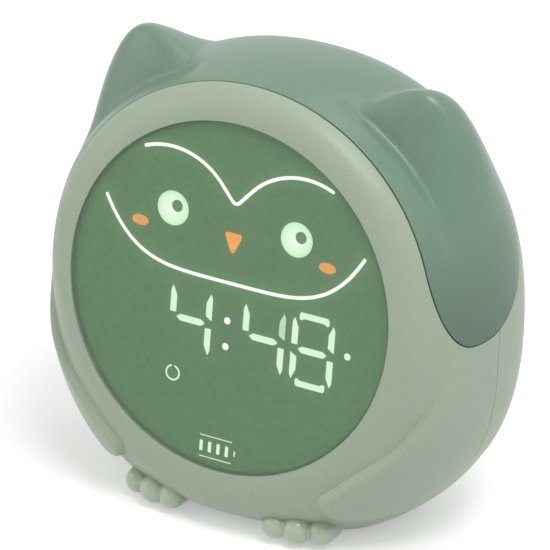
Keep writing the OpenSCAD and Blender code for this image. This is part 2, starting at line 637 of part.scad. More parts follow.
// Deep white frame with a light cell behind every bar, line and mark
module segment_frame() color(white_c) face_frame() slab(frame_w, frame_w + frame_t) difference() {
    circle(frame_r);
    for (a = tab_as) rotate(a) translate([tab_r, 0]) circle(tab_pad_r + 0.3);
    digits(guide_gap);
    face_lines(guide_gap);
    cheeks(guide_gap);
    beak(guide_gap);
    icons(guide_gap);
}
module digit_guides() color(glow_c) face_frame() slab(frame_w, frame_w + guide_t) digits(0);
module icon_guides() color(glow_c) face_frame() slab(frame_w, frame_w + guide_t) icons(0);
module face_guides() color(glow_c) face_frame() slab(frame_w, frame_w + guide_t) face_lines(0);
module cheek_beak_guides() color(orange_c) face_frame() slab(frame_w, frame_w + guide_t) {
    cheeks(0);
    beak(0);
}
module tabs(r) for (a = tab_as) rotate(a) translate([r - 8, -tab_pad_r]) {
    square([tab_r - r + 8, 2 * tab_pad_r]);
    translate([tab_r - r + 8, tab_pad_r]) circle(tab_pad_r);
}
module tab_holes() for (a = tab_as) rotate(a) translate([tab_r, 0]) circle(screw_r);
module display_board() color(board_c) face_frame() {
    slab(board_w, board_w + board_t) difference() {
        union() {
            circle(frame_r - 0.5);
            tabs(frame_r);
        }
        tab_holes();
    }
    // Socket of the ribbon
    block(0, plate_w, ribbon_z, ribbon_w + 2, 1.6, 3);
}
// A light behind each bar, line and mark: [x, z, width, height]
led_places = concat(
    [for (x = digit_xs) for (z = [digit_h / 2, 0, -digit_h / 2]) [x, digit_z + z, 1.6, 1]],
    [for (x = digit_xs) for (s = [-1, 1]) for (z = [-1, 1])
        [x + s * digit_w / 2, digit_z + z * (digit_h / 4 + 0.1), 1, 1.6]],
    [for (z = [-3.75, 3.75]) [0, colon_z + z, 0.8, 0.8]],
    [for (s = [-1, 1]) for (z = [-1, 1]) [s * eye_x, eye_z + 2.4 * z, 1.6, 1]],
    [for (s = [-1, 1]) [s * cheek[0], cheek[1], 1.6, 1]],
    [for (k = [2, 7, 12, 17, 22]) [cheek_line[k][0], cheek_line[k][1], 0.7, 0.7]],
    [for (k = [2, 7]) for (s = [-1, 1]) [s * brow_line[k][0], brow_line[k][1], 0.7, 0.7]],
    [for (k = [0:3]) [icon_x + 2.7 * k, icon_z, 0.7, 1.4]],
    [[0, 17, 1.6, 1], [37.6, -7.4, 0.8, 0.8]]);
module display_leds() color([1, 0.95, 0.7]) face_frame() for (p = led_places)
    block(p[0], board_w - 0.6, p[1], p[2], 0.6, p[3]);

module inner_frame() color(dark_c) face_frame() slab(plate_w, plate_back) difference() {
    union() {
        circle(frame_r);
        tabs(frame_r);
    }
    tab_holes();
    for (s = [-1, 1]) translate([s * tray_screw_x, tray_screw_z]) circle(screw_r - 0.1);
    // Lightening holes and the way for the ribbon
    for (s = [-1, 1]) translate([s * 24, 8]) circle(12);
    translate([-10, ribbon_z - 8]) square([20, 16]);
}
module frame_screws() color(steel_c) face_frame() for (a = tab_as) {
    x = tab_r * cos(a);
    z = tab_r * sin(a);
    bar(x, z, 2.3, plate_back, plate_back + 1.6);
    bar(x, z, screw_r - 0.1, board_w - 3.8, plate_back + 0.2);
}
// The same screws hold the lamp tray
module tray_screws() color(steel_c) face_frame() for (s = [-1, 1]) {
    bar(s * tray_screw_x, tray_screw_z, 2.3, tray_w0 + 1.6, tray_w0 + 3.2);
    bar(s * tray_screw_x, tray_screw_z, screw_r - 0.1, plate_w, tray_w0 + 1.8);
}

// ---- Feet and pads --------------------------------------------------------------------

toe_cy = face_y - toe_y;
// Three toes in front of a sole that runs straight back under the belly
module foot(s) difference() {
    union() {
        for (k = [-1, 0, 1]) {
            x = s * (toe_x + k * toe_pitch);
            y = toe_cy + (k == 1 ? 2.3 : k == -1 ? -0.8 : 0);
            r = toe_r * (k == 0 ? 1.02 : 0.94);
            hull() {
                translate([x, y, pad_t + toe_r - 0.15]) sphere(r, $fn = 20);
                translate([x, y + 5, pad_t + toe_r - 0.4]) sphere(r, $fn = 14);
            }
            hull() {
                translate([x, y + 4, pad_t + 3]) sphere(3, $fn = 14);
                translate([s * (toe_x + k * toe_pitch * 0.9), toe_cy + 16.5, pad_t + 2.6])
                    sphere(2.6, $fn = 14);
            }
        }
        // Flat sole, in two halves
        for (y = [2, 10]) hull() for (k = [-1, 1]) for (d = [0, 7])
            translate([s * (toe_x + k * toe_pitch * 0.9), toe_cy + y + d + (y < 3 ? 0.7 * (1 + k) : 0),
                       pad_t])
                cylinder(r = 2.2, h = 3, $fn = 16);
    }
    front_plug();
    translate([-50, toe_cy - 20, pad_t - 5]) cube([100, 60, 5]);
}
module left_foot() color(housing_c) foot(-1);
module right_foot() color(housing_c) foot(1);
module oval(x, y, l, w, t) translate([x, y, 0]) linear_extrude(t) {
    square([l - w, w], center = true);
    for (s = [-1, 1]) translate([s * (l - w) / 2, 0]) circle(w / 2);
}
module foot_pads() color(dark_c) for (s = [-1, 1]) oval(s * toe_x, toe_cy + 9, 14, 9, pad_t);
rear_pad_y = face_y + 40;
module rear_pad() color(dark_c) oval(0, rear_pad_y, 46, 8, belly_z);

// ---- Control panel --------------------------------------------------------------------

button_xs = [-2 * button_pitch, -button_pitch, 0, button_pitch, 2 * button_pitch];
button_flange = button_r + 1;
speaker_z = 13.2;
grille_r = 10.8;
grille_flange = 0.8;
switch_x = -12;
switch_travel = 2.4;
knob = [3.2, 2.8];
reset = [12, -21];
port_z = -20;
port = [9.4, 3.7];
board_posts = [[-19.8, -2.6], [19.8, -2.6], [-19.8, -19.5], [19.8, -19.5]];

module rounded(w, h) {
    square([w - h, h], center = true);
    for (s = [-1, 1]) translate([s * (w - h) / 2, 0]) circle(h / 2);
}
module control_panel() color([0.62, 0.7, 0.6]) face_frame() {
    difference() {
        bar(0, 0, panel_r, panel_back, panel_face);
        for (x = button_xs) bar(x, button_z, button_r + button_gap, panel_back - 1, panel_face + 1);
        for (a = [0:90:270]) bar(lug_r * cos(a), lug_r * sin(a), screw_r, panel_back - 1, panel_face + 1);
        for (a = [0:90:270]) bar(lug_r * cos(a), lug_r * sin(a), 2.35, panel_face - 1.3, panel_face + 1);
        bar(0, speaker_z, grille_r + 0.1, panel_back - 1, panel_face + 1);
        bar(0, speaker_z, grille_r + 1.1, panel_back - 1, panel_back + grille_flange);
        bar(reset[0], reset[1], 0.7, panel_back - 1, panel_face + 1);
        slab(panel_back - 1, panel_face + 1) {
            translate([0, port_z]) rounded(port[0], port[1]);
            translate([switch_x + switch_travel / 2, switch_z])
                square([knob[0] + switch_travel + 0.5, knob[1] + 0.4], center = true);
        }
    }
    for (p = board_posts) tube(p[0], p[1], 1.9, 0.8, main_back, panel_back);
    difference() {
        bar(0, speaker_z, speaker_r + 1.4, panel_back - 3, panel_back);
        bar(0, speaker_z, speaker_r, panel_back - 4, panel_back + 1);
    }
}
module panel_screws() color(steel_c) face_frame() for (a = [0:90:270]) {
    bar(lug_r * cos(a), lug_r * sin(a), 2.2, panel_face - 1.3, panel_face - 0.2);
    bar(lug_r * cos(a), lug_r * sin(a), screw_r - 0.1, panel_back - 4.8, panel_face - 1);
}
module speaker_grille() color(dark_c) face_frame() difference() {
    union() {
        bar(0, speaker_z, grille_r, panel_back + 0.1, panel_face - 0.3);
        bar(0, speaker_z, grille_r + 1, panel_back, panel_back + grille_flange);
    }
    for (k = [0:3]) for (i = [0:max(0, 6 * k - 1)]) {
        a = 360 * i / max(1, 6 * k);
        bar(2.7 * k * cos(a), speaker_z + 2.7 * k * sin(a), 0.8, panel_back - 1, panel_face + 1);
    }
}
module speaker_basket() color(steel_c) face_frame() translate([0, 0, speaker_z]) rotate([-90, 0, 0])
    rotate_extrude() polygon([
        [speaker_r, panel_back], [speaker_r - 1.6, panel_back],
        [speaker_r - 1.6, panel_back - 1.4], [7.6, panel_back - 4.6], [7.6, panel_back - 5.2],
        [6.2, panel_back - 5.2], [6.2, panel_back - 6], [8.4, panel_back - 6],
        [speaker_r - 0.6, panel_back - 2.2], [speaker_r, panel_back - 1.4]]);
module speaker_cone() color(dark_c) face_frame() translate([0, 0, speaker_z]) rotate([-90, 0, 0])
    rotate_extrude() polygon([
        [0, panel_back - 2], [2.6, panel_back - 2.4], [4, panel_back - 3.4],
        [speaker_r - 1.6, panel_back - 0.9], [speaker_r - 1.6, panel_back - 1.2],
        [4, panel_back - 3.9], [3.6, panel_back - 5], [3, panel_back - 5],
        [3, panel_back - 2.9], [0, panel_back - 2.4]]);
module speaker_magnet() color(steel_c) face_frame() difference() {
    bar(0, speaker_z, 6.1, panel_back - 9.5, panel_back - 5.2);
    bar(0, speaker_z, 4.2, panel_back - 7.5, panel_back - 5);
    bar(0, speaker_z, 2.6, panel_back - 7.6, panel_back - 5);
}

module push_button(i) face_frame() translate([button_xs[i], 0, button_z]) rotate([-90, 0, 0])
    rotate_extrude() polygon([
        [0, main_back + 3.3], [1.3, main_back + 3.3], [1.3, panel_back - 1.1],
        [button_flange, panel_back - 1.1], [button_flange, panel_back - 0.1],
        [button_r, panel_back - 0.1], [button_r, panel_face + button_out - 0.5],
        [button_r - 0.15, panel_face + button_out - 0.2], [button_r - 0.5, panel_face + button_out],
        [1.6, panel_face + button_out - 0.15], [0, panel_face + button_out - 0.2]]);
module set_button() color(white_c) push_button(0);
module alarm_button() color(white_c) push_button(1);
module up_button() color(white_c) push_button(2);
module down_button() color(white_c) push_button(3);
module light_button() color(white_c) push_button(4);
module button_switches() color(dark_c) face_frame() for (x = button_xs) {
    block(x, main_back, button_z, 6, 1.8, 6);
    bar(x, button_z, 1.7, main_back + 1.8, main_back + 2.4);
}
module alarm_switch() color(white_c) face_frame() {
    block(switch_x, panel_back - 0.9, switch_z, knob[0] + 2 * switch_travel + 0.9, 0.8, knob[1] + 2.4);
    block(switch_x, panel_back - 0.2, switch_z, knob[0], panel_t + 1, knob[1]);
    block(switch_x, main_back + 4.2, switch_z, 1.6, panel_back - 0.5 - main_back - 4.2, 1.6);
}
module slide_switch_body() color(steel_c) face_frame()
    block(switch_x + switch_travel / 2, main_back, switch_z, 9, 3.9, 4);

module main_board() color(board_c) face_frame() slab(main_w, main_back) difference() {
    translate([-22, -21.8]) square([44, 21.2]);
    for (p = board_posts) translate(p) circle(0.95);
}
module board_screws() color(steel_c) face_frame() for (p = board_posts) {
    bar(p[0], p[1], 1.7, main_w - 1.3, main_w);
    bar(p[0], p[1], 0.7, main_w - 0.2, main_back + 4.5);
}
module main_chips() color(dark_c) face_frame() {
    block(0, main_w - 3, socket_z, ribbon_w + 2, 3, 3);
    block(0, main_w - 1.2, -18, 7, 1.2, 7);
    block(14, main_w - 1.4, -14, 5, 1.4, 4);
    block(-14, main_w - 1.4, -14, 4, 1.4, 5);
    block(10, main_w - 3, -19, 6, 3, 3.4);
    block(-10, main_w - 2.4, -19, 3.2, 2.4, 3.2);
}
module charging_socket() color(steel_c) face_frame() {
    slab(main_back, panel_face - 0.6) difference() {
        translate([0, port_z]) rounded(8.9, 3.2);
        translate([0, port_z]) rounded(8.3, 2.6);
    }
    slab(main_back, main_back + 1) translate([0, port_z]) rounded(8.6, 2.9);
    block(0, main_back + 0.5, port_z, 6.6, panel_face - 2 - main_back, 0.7);
}

// ---- Battery --------------------------------------------------------------------------

cell_y = -3.6;
cradle_rim = 2;
// Depth of the cradle's front edge, and the floor of the housing under it
cradle_q = (cell_y - cell_d / 2 - cradle_rim - face_y) * cos(tilt) + (lens_z - belly_z - wall) * sin(tilt);
cradle_z = max(belly_z, lens_z - skin_r(-90, cradle_q) * cos(tilt) - cradle_q * sin(tilt)) + wall;
cell_z = cradle_z + 2.2 + cell_d / 2;
module battery_cell() color([0.3, 0.5, 0.75]) translate([-cell_l / 2, cell_y, cell_z]) rotate([0, 90, 0]) {
    cylinder(d = cell_d, h = cell_l - 1.2);
    translate([0, 0, cell_l - 1.3]) cylinder(d = 6, h = 1.3);
}
module battery_cradle() color(white_c) difference() {
    union() {
        translate([-26, cell_y - cell_d / 2, cradle_z]) cube([52, cell_d - 5, 4]);
        translate([-cell_l / 2 - 1.9, cell_y - cell_d / 2 - cradle_rim, cradle_z + 1.8])
            cube([cell_l + 3.8, cell_d + 2 * cradle_rim, cell_d * 0.5]);
    }
    translate([-cell_l / 2 - 0.3, cell_y, cell_z]) rotate([0, 90, 0])
        cylinder(d = cell_d + 0.4, h = cell_l + 0.6);
    translate([-cell_l / 2 - 0.3, cell_y - cell_d / 2 - 0.2, cell_z])
        cube([cell_l + 0.6, cell_d + 0.4, cell_d]);
}

// ---- Night light ----------------------------------------------------------------------

tray_z = 44.4;
tray_w0 = plate_back;
tray_x = 32;
tray_screw_x = 10;
tray_screw_z = tray_z - 5.4;
module lamp_tray() color(white_c) face_frame() {
    difference() {
        translate([-tray_x, tray_w0, tray_z]) cube([2 * tray_x, 32, 4]);
        translate([1.6 - tray_x, tray_w0 + 1.6, tray_z + 1.6]) cube([2 * tray_x - 3.2, 28.8, 4]);
    }
    difference() {
        block(0, tray_w0, tray_z - 4.4, 30, 1.6, 9);
        for (s = [-1, 1]) bar(s * tray_screw_x, tray_screw_z, screw_r, tray_w0 - 1, tray_w0 + 3);
    }
}
module lamp_board() color(white_c) face_frame()
    translate([-28, tray_w0 + 4, tray_z + 1.6]) cube([56, 24, 1.2]);
module lamp_leds() color([1, 0.95, 0.75]) face_frame() for (i = [-2:2]) for (j = [0:1])
    translate([11 * i - 1.75, tray_w0 + 9 + 11 * j, tray_z + 2.8]) cube([3.5, 2.8, 0.8]);

// ---- Wiring and screws ----------------------------------------------------------------

ribbon_w = 12;
ribbon_t = 0.3;
ribbon_z = -16;
socket_z = -12;
// A flat cable with two soft bends between the display board and the main board
ribbon_path = [for (k = [0:16]) let(t = k / 16)
    [mix(plate_w + 1.6, main_w - 3, t), mix(ribbon_z, socket_z, t) - 5 * pow(sin(180 * t), 2)]];
module ribbon_cable() color([0.85, 0.85, 0.8]) face_frame()
    translate([-ribbon_w / 2, 0, 0]) rotate([90, 0, 90]) linear_extrude(ribbon_w)
        polygon(concat(ribbon_path, [for (i = [16:-1:0]) ribbon_path[i] + [0, ribbon_t]]));

module housing_screws() color(steel_c) face_frame() for (p = screw_posts) {
    x = p[1] * cos(p[0]);
    z = p[1] * sin(p[0]);
    bar(x, z, 2.1, post_end(p) + 4, post_end(p) + 5.6);
    bar(x, z, screw_r - 0.1, post_end(p) - thread_l + 0.3, post_end(p) + 4.2);
}

// ---- Nodes ----------------------------------------------------------------------------

front_housing();
rear_housing();
hood();
display_lens();
display_mask();
segment_frame();
digit_guides();
icon_guides();
face_guides();
cheek_beak_guides();
display_board();
display_leds();
inner_frame();
frame_screws();
tray_screws();
left_foot();
right_foot();
foot_pads();
rear_pad();
control_panel();
panel_screws();
speaker_grille();
speaker_basket();
speaker_cone();
speaker_magnet();
set_button();
alarm_button();
up_button();
down_button();
light_button();
alarm_switch();
button_switches();
slide_switch_body();
main_board();
main_chips();
board_screws();
charging_socket();
battery_cell();
battery_cradle();
lamp_tray();
lamp_board();
lamp_leds();
ribbon_cable();
housing_screws();
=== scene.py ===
"""Looks of an owl-shaped alarm clock with night light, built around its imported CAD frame."""
import json
import math

import bmesh
import bpy
import numpy as np
from mathutils import Matrix, Vector
from mathutils.kdtree import KDTree


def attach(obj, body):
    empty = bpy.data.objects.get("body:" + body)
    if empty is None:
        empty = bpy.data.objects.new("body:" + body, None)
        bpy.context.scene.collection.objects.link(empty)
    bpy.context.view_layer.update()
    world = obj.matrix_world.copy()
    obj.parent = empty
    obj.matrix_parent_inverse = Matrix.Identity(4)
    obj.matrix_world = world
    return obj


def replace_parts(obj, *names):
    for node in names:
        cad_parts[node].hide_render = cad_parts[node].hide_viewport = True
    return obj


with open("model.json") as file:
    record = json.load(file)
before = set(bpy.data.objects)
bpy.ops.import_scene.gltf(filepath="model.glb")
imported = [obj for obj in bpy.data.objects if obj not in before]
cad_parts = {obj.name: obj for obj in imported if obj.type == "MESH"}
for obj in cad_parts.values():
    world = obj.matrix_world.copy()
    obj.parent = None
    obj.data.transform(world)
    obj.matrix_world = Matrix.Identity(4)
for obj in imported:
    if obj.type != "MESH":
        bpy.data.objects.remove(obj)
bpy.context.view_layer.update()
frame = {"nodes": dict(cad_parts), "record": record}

# ---- Sizes of the CAD model, in millimetres and degrees --------------------------------------
MM = 0.001
TILT, LENS_Z, FACE_Y = 8.4, 69.2, -32.5726  # how far the face leans back, and where its middle is
LENS_R, LENS_W, LENS_T = 50.0, 0.1, 1.2  # radius, depth of the front, thickness
LEDGE_R, LEDGE_W, LEDGE_BACK = 48.9, 1.6, 3.35  # the ledge behind the rim of the lens
BEZEL_W, BEZEL_DROP, CHIN = 9.5, 5.6, 4.3  # width, depth of the outer rim, added width at the chin
BODY_R = np.array([68.2, 74.6, 73.9, 69.0, 68.0, 66.0, 64.1])  # every 30 degrees, from the bottom up
WAIST, BACK_LEN, BACK_N = 36.2, 36.5, 2.27  # depth of the widest place, length and fullness of the back
WALL, SEAM, BELLY_Z = 2.3, 0.3, 1.9  # walls, gap round the hood, height of the flat belly
PARTING = 29.4  # depth of the line between the two housings
EAR_H, EAR_A, EAR_IN, EAR_OUT = 16.7, 56.0, 8.0, 29.0  # height, angle of the tip, reach to each side
EAR_W, EAR_F, EAR_B = 22.0, 5.8, 29.0  # depth of the ridge, its reach to the front and to the back
EAR_ROUND, EAR_SLANT = 6.6, 0.17  # roundness of the tip, degrees it leans outwards per mm of depth
EAR_SWEEP, EAR_GROOVE = 0.25, 1.3  # mm the ridge runs back per degree outwards, hollow before the ears
LOBE_A, LOBE_W = -2.3, 18.5  # angle and depth of the tips of the hood's lobes
LOBE_FRONT_A, LOBE_REAR_A = 20.0, 24.0  # angles up to which the edges of the lobes are round
HOOD_BACK, HOOD_CROWN = 45.5, 10.0  # depth of the rear edge, and how much deeper it is on top
WING_H, WING_TIP, WING_FADE = 2.3, -63.0, 36.0  # height, angle of the tip, depth over which it fades
WING_EDGE, WING_ROUND = 2.0, 6.0  # width of the slope at the edge, roundness of the outline
TOE_R, TOE_PITCH, TOE_X, TOE_Y = 4.0, 6.4, 23.0, 1.3
PAD_T = 1.1  # the pads under the feet
HOLE_R, SEAT_R, SEAT_T = 34.0, 31.6, 1.8  # the hole in the back, and the seat of the panel in it
PANEL_BACK, PANEL_T, LUG_R = 65.898, 2.4, 29.8  # depth, thickness, circle of the screws
PANEL_FACE = PANEL_BACK + PANEL_T
MASK_W, FRAME_W, FILM_R = 1.3, 1.55, 49.5  # depths of the film's front and back, and its radius
HOOD_START = BEZEL_DROP + 0.5
COS_T, SIN_T = math.cos(math.radians(TILT)), math.sin(math.radians(TILT))

# Finish of the visible pieces, in millimetres
EDGE = 0.28  # radius of the rounded edges at the seams
PART_GAP = 0.16  # visible gap between the two housings, and round the lens
INSET = 0.07  # keeps the smooth shells inside the faceted solids
NEAR_EDGE = np.array([0, 0.03, 0.08, 0.15, 0.24, 0.36, 0.55, 0.9])  # the rows beside a rounded edge
SHARP = 50  # degrees between the two sides of a shell's sharp edges


# ---- Form of the body: the same curves as the CAD source -------------------------------------
def sind(a):
    return np.sin(np.radians(a))


def cosd(a):
    return np.cos(np.radians(a))


def smooth(x):
    c = np.clip(x, 0, 1)
    return c * c * (3 - 2 * c)


def mix(a, b, t):
    return a + (b - a) * t


def rise(a):
    """The angle above the level through the lens, the same on both sides of the clock."""
    return np.degrees(np.arcsin(np.clip(sind(a), -1, 1)))


def girth(a):
    """The largest radius of the body at each angle, a smooth curve through BODY_R."""
    x = (rise(a) + 90) / 30
    i = np.clip(np.floor(x), 0, 5).astype(int)
    t = x - i
    p0 = BODY_R[np.where(i == 0, 1, i - 1)]
    p1, p2 = BODY_R[i], BODY_R[i + 1]
    p3 = BODY_R[np.where(i + 2 > 6, 5, i + 2)]
    return p1 + 0.5 * t * (p2 - p0 + t * (2 * p0 - 5 * p1 + 4 * p2 - p3 + t * (3 * (p1 - p2) + p3 - p0)))


def lowness(a):
    """From 0 above the middle of the lens to 1 at the bottom."""
    return smooth((-rise(a) - 10) / 60)


def rim_r(a):
    """Radius of the outer rim of the bezel."""
    return LENS_R + BEZEL_W + CHIN * lowness(a)


def swell(a):
    """Fullness of the curve from the rim to the waist, greater low down."""
    return 2 + 1.3 * lowness(a)


def plain_r(a, q):
    """Radius of the body at angle a and depth q, without its ears and wings."""
    g, r = girth(a), rim_r(a)
    front = r + (g - r) * (1 - np.clip((WAIST - q) / (WAIST - BEZEL_DROP), 0, 1) ** swell(a))
    back = g * np.clip(1 - np.clip((q - WAIST) / BACK_LEN, 0, 1) ** BACK_N, 0, 1) ** (1 / BACK_N)
    return np.where(q < WAIST, front, back)


def ear(a, q):
    """How far an ear stands out of the body: a rounded tip, steep in front and long behind."""
    s = rise(a) - EAR_A + EAR_SLANT * np.maximum(0, q - EAR_W)
    inner, outer = EAR_H * (1 - s / EAR_IN), EAR_H * (1 + s / EAR_OUT)
    h = -EAR_ROUND * np.logaddexp(-inner / EAR_ROUND, -outer / EAR_ROUND)
    ridge = (h + np.sqrt(h * h + 4)) / 2
    top = EAR_W + EAR_SWEEP * np.maximum(0, EAR_A - rise(a))
    front = np.clip((top - q) / (top - EAR_W + EAR_F), 0, 1)
    back = smooth((q - top) / np.maximum(10, EAR_W + EAR_B - top))
    return ridge * np.where(q < top, (1 - front ** 2.2) ** 0.8, 1 - back)


def groove(a, q):
    """The hollow in front of the ears."""
    return (-EAR_GROOVE * np.exp(-((q - EAR_W + EAR_F) / 3) ** 2)
            * smooth((rise(a) - 12) / 18) * (1 - smooth((rise(a) - 62) / 10)))


def wing_front(e):
    """Depth of the front edge of a wing, by the height on the body as an angle."""
    return 3.9 + 8.2 * np.clip((e + 50) / 42.5, 0, 1) ** 1.8


def wing_back(e):
    """Depth of its rear edge, which higher up lies where the wing has faded."""
    return 5 + 25 * np.clip((e + 61.5) / 28, 0, 1) ** 0.9 + 30 * smooth((e + 36) / 10)


def run(q):
    """About how far from the lens a depth is, along the skin low on the body."""
    return 2.2 * np.minimum(q, BEZEL_DROP) + 1.4 * np.maximum(0, q - BEZEL_DROP)


def wing(a, q):
    """How far a wing stands out: a soft edge round its tip, fading upwards and backwards."""
    e = rise(a)
    inside = [run(q) - run(wing_front(e)), (run(wing_back(e)) - run(q)) / 1.5, e - WING_TIP]
    far = WING_ROUND - np.sqrt(sum(np.maximum(0, WING_ROUND - d) ** 2 for d in inside))
    edge = 1 - (1 - np.clip(far / WING_EDGE, 0, 1)) ** 2.4
    return WING_H * edge * (1 - smooth((e + 26) / 22)) * (1 - smooth((q - 12) / WING_FADE))


def side_r(a, q):
    return plain_r(a, q) + ear(a, q) + groove(a, q)


def skin(a, q):
    """Radius and depth of the skin at angle a and depth q; below BEZEL_DROP q runs over the bezel.
    The wings lie on it like feathers, square to the skin in front and outwards further back."""
    b = np.clip(q / BEZEL_DROP, 0, 1)
    r1 = side_r(a, np.full_like(q, BEZEL_DROP))
    slope = swell(a) * (girth(a) - rim_r(a)) / (WAIST - BEZEL_DROP)
    knee = r1 - slope * BEZEL_DROP
    front = (1 - b) ** 2 * LENS_R + 2 * b * (1 - b) * knee + b * b * r1
    on_bezel = q < BEZEL_DROP
    lean = np.where(on_bezel,
                    np.arctan2((1 - b) * (knee - LENS_R) + b * slope * BEZEL_DROP, b * BEZEL_DROP),
                    np.arctan(slope) * (1 - smooth((q - BEZEL_DROP) / 10)))
    h = wing(a, q)
    return (np.where(on_bezel, front, side_r(a, q)) + h * np.cos(lean),
            np.where(on_bezel, b * b * BEZEL_DROP, q) - h * np.sin(lean))


def place(x, w, z):
    """From the frame of the face (x, depth w, z) to the frame of the clock, still in millimetres."""
    return np.stack([x + 0 * w + 0 * z, FACE_Y + w * COS_T + z * SIN_T + 0 * x,
                     LENS_Z + z * COS_T - w * SIN_T + 0 * x], -1)


def skin_point(a, q):
    r, w = skin(a, q)
    return place(r * cosd(a), w, r * sind(a))


def skin_normal(a, q):
    """The direction square to the skin, from points a little beside this one."""
    d = 0.4
    n = np.cross(skin_point(a, q + d) - skin_point(a, np.maximum(0, q - d)),
                 skin_point(a + d, q) - skin_point(a - d, q))
    return n / np.linalg.norm(n, axis=-1, keepdims=True)


def under_skin(a, q, t):
    """A point t under the skin, on the flat belly where the body would reach below it."""
    p = skin_point(a, q) - (np.asarray(t)[..., None] + INSET) * skin_normal(a, q)
    floor = BELLY_Z + np.asarray(t)
    d = p[..., 2] - floor
    p[..., 2] = floor + (d + np.sqrt(d * d + 0.16)) / 2
    return p


def ellipse_01(u):
    """A quarter of an ellipse, from 1 at 0 down to 0 at 1."""
    return np.sqrt(np.maximum(0, 1 - u * u))


def hood_front(e, tip=LOBE_A):
    """Depth of the front edge of the hood, from the tip of a lobe up to the crown."""
    return HOOD_START + (LOBE_W - BEZEL_DROP) * (
        1 - ellipse_01(np.clip((LOBE_FRONT_A - e) / (LOBE_FRONT_A - tip), 0, 1)))


def hood_rear(e, tip=LOBE_A):
    """Depth of its rear edge."""
    return (LOBE_W + (HOOD_BACK - LOBE_W)
            * ellipse_01(np.clip((LOBE_REAR_A - e) / (LOBE_REAR_A - tip), 0, 1))
            + HOOD_CROWN * np.clip(sind(90 * np.clip((e - 25) / 65, 0, 1)), 0, 1) ** 1.5)


# Where the parting line runs into the edge of a lobe
MEET_SIN = (PARTING - LOBE_W) / (HOOD_BACK - LOBE_W)
MEET_A = LOBE_REAR_A - (LOBE_REAR_A - LOBE_A) * math.sqrt(1 - MEET_SIN ** 2)


def rim_at(a, r):
    """Depth at which the back has narrowed to radius r."""
    return WAIST + BACK_LEN * (1 - (r / girth(a)) ** BACK_N) ** (1 / BACK_N)


# ---- Meshes ----------------------------------------------------------------------------------
def add_object(name, data):
    """A new object in the scene."""
    obj = bpy.data.objects.new(name, data)
    bpy.context.scene.collection.objects.link(obj)
    return obj


def evaluated(obj):
    """A new mesh of an object as its curve or its modifiers make it."""
    bpy.context.view_layer.update()
    return bpy.data.meshes.new_from_object(obj.evaluated_get(bpy.context.evaluated_depsgraph_get()))


def taken_apart(obj):
    """Points in millimetres and faces of a helper object, which is then removed."""
    mesh = evaluated(obj)
    bpy.data.objects.remove(obj)
    points = np.array([v.co for v in mesh.vertices], float) / MM
    faces = [tuple(f.vertices) for f in mesh.polygons]
    bpy.data.meshes.remove(mesh)
    return points, faces


def new_object(name, verts_mm, faces, material, flat=False):
    """A piece from points in millimetres; it rides the case."""
    mesh = bpy.data.meshes.new(name)
    mesh.from_pydata([tuple(v) for v in np.asarray(verts_mm, float) * MM], [], faces)
    bm = bmesh.new()
    bm.from_mesh(mesh)
    bmesh.ops.remove_doubles(bm, verts=bm.verts, dist=2e-6)
    bmesh.ops.recalc_face_normals(bm, faces=bm.faces)
    bm.to_mesh(mesh)
    bm.free()
    mesh.validate()
    if not flat:
        mesh.polygons.foreach_set("use_smooth", [True] * len(mesh.polygons))
    mesh.materials.append(material)
    obj = add_object(name, mesh)
    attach(obj, "case")
    return obj


def sharpen(obj, degrees):
    """Flat shading across edges sharper than this."""
    obj.data.set_sharp_from_angle(angle=math.radians(degrees))


def grid_faces(rows, cols, closed_cols, closed_rows=False):
    """Faces between the points of a grid, given row by row."""
    faces = []
    for i in range(rows if closed_rows else rows - 1):
        k = (i + 1) % rows
        for j in range(cols if closed_cols else cols - 1):
            m = (j + 1) % cols
            faces.append((i * cols + j, i * cols + m, k * cols + m, k * cols + j))
    return faces


def edge_depth(points, edge_points, radius):
    """How far a rounded edge of this radius has sunk under the skin at each point."""
    tree = KDTree(len(edge_points))
    for k, p in enumerate(edge_points):
        tree.insert(p, k)
    tree.balance()
    d = np.array([tree.find(p)[2] for p in points.reshape(-1, 3)]).reshape(points.shape[:-1])
    d = np.clip(d, 0, radius)
    return radius - np.sqrt(np.maximum(0, radius ** 2 - (radius - d) ** 2))


def dense(points, step=0.12):
    """More points along a closed or open polyline, for distances to it."""
    out = []
    for p, q in zip(points[:-1], points[1:]):
        n = max(1, int(np.linalg.norm(q - p) / step))
        out.extend(p + (q - p) * k / n for k in range(n))
    out.append(points[-1])
    return np.array(out)


def both_sides(cols, angles):
    """Columns up the right side and down the left, mirrored; each begins with this many angles."""
    right = np.array(cols)
    left = right[-2:0:-1].copy()
    left[:, :angles] = 180 - left[:, :angles]
    return np.vstack([right, left])


def ring_of(radius, w, angles):
    """A ring of points round the axis of the lens, at depth w."""
    return place(radius * cosd(angles), np.full_like(angles, w), radius * sind(angles))


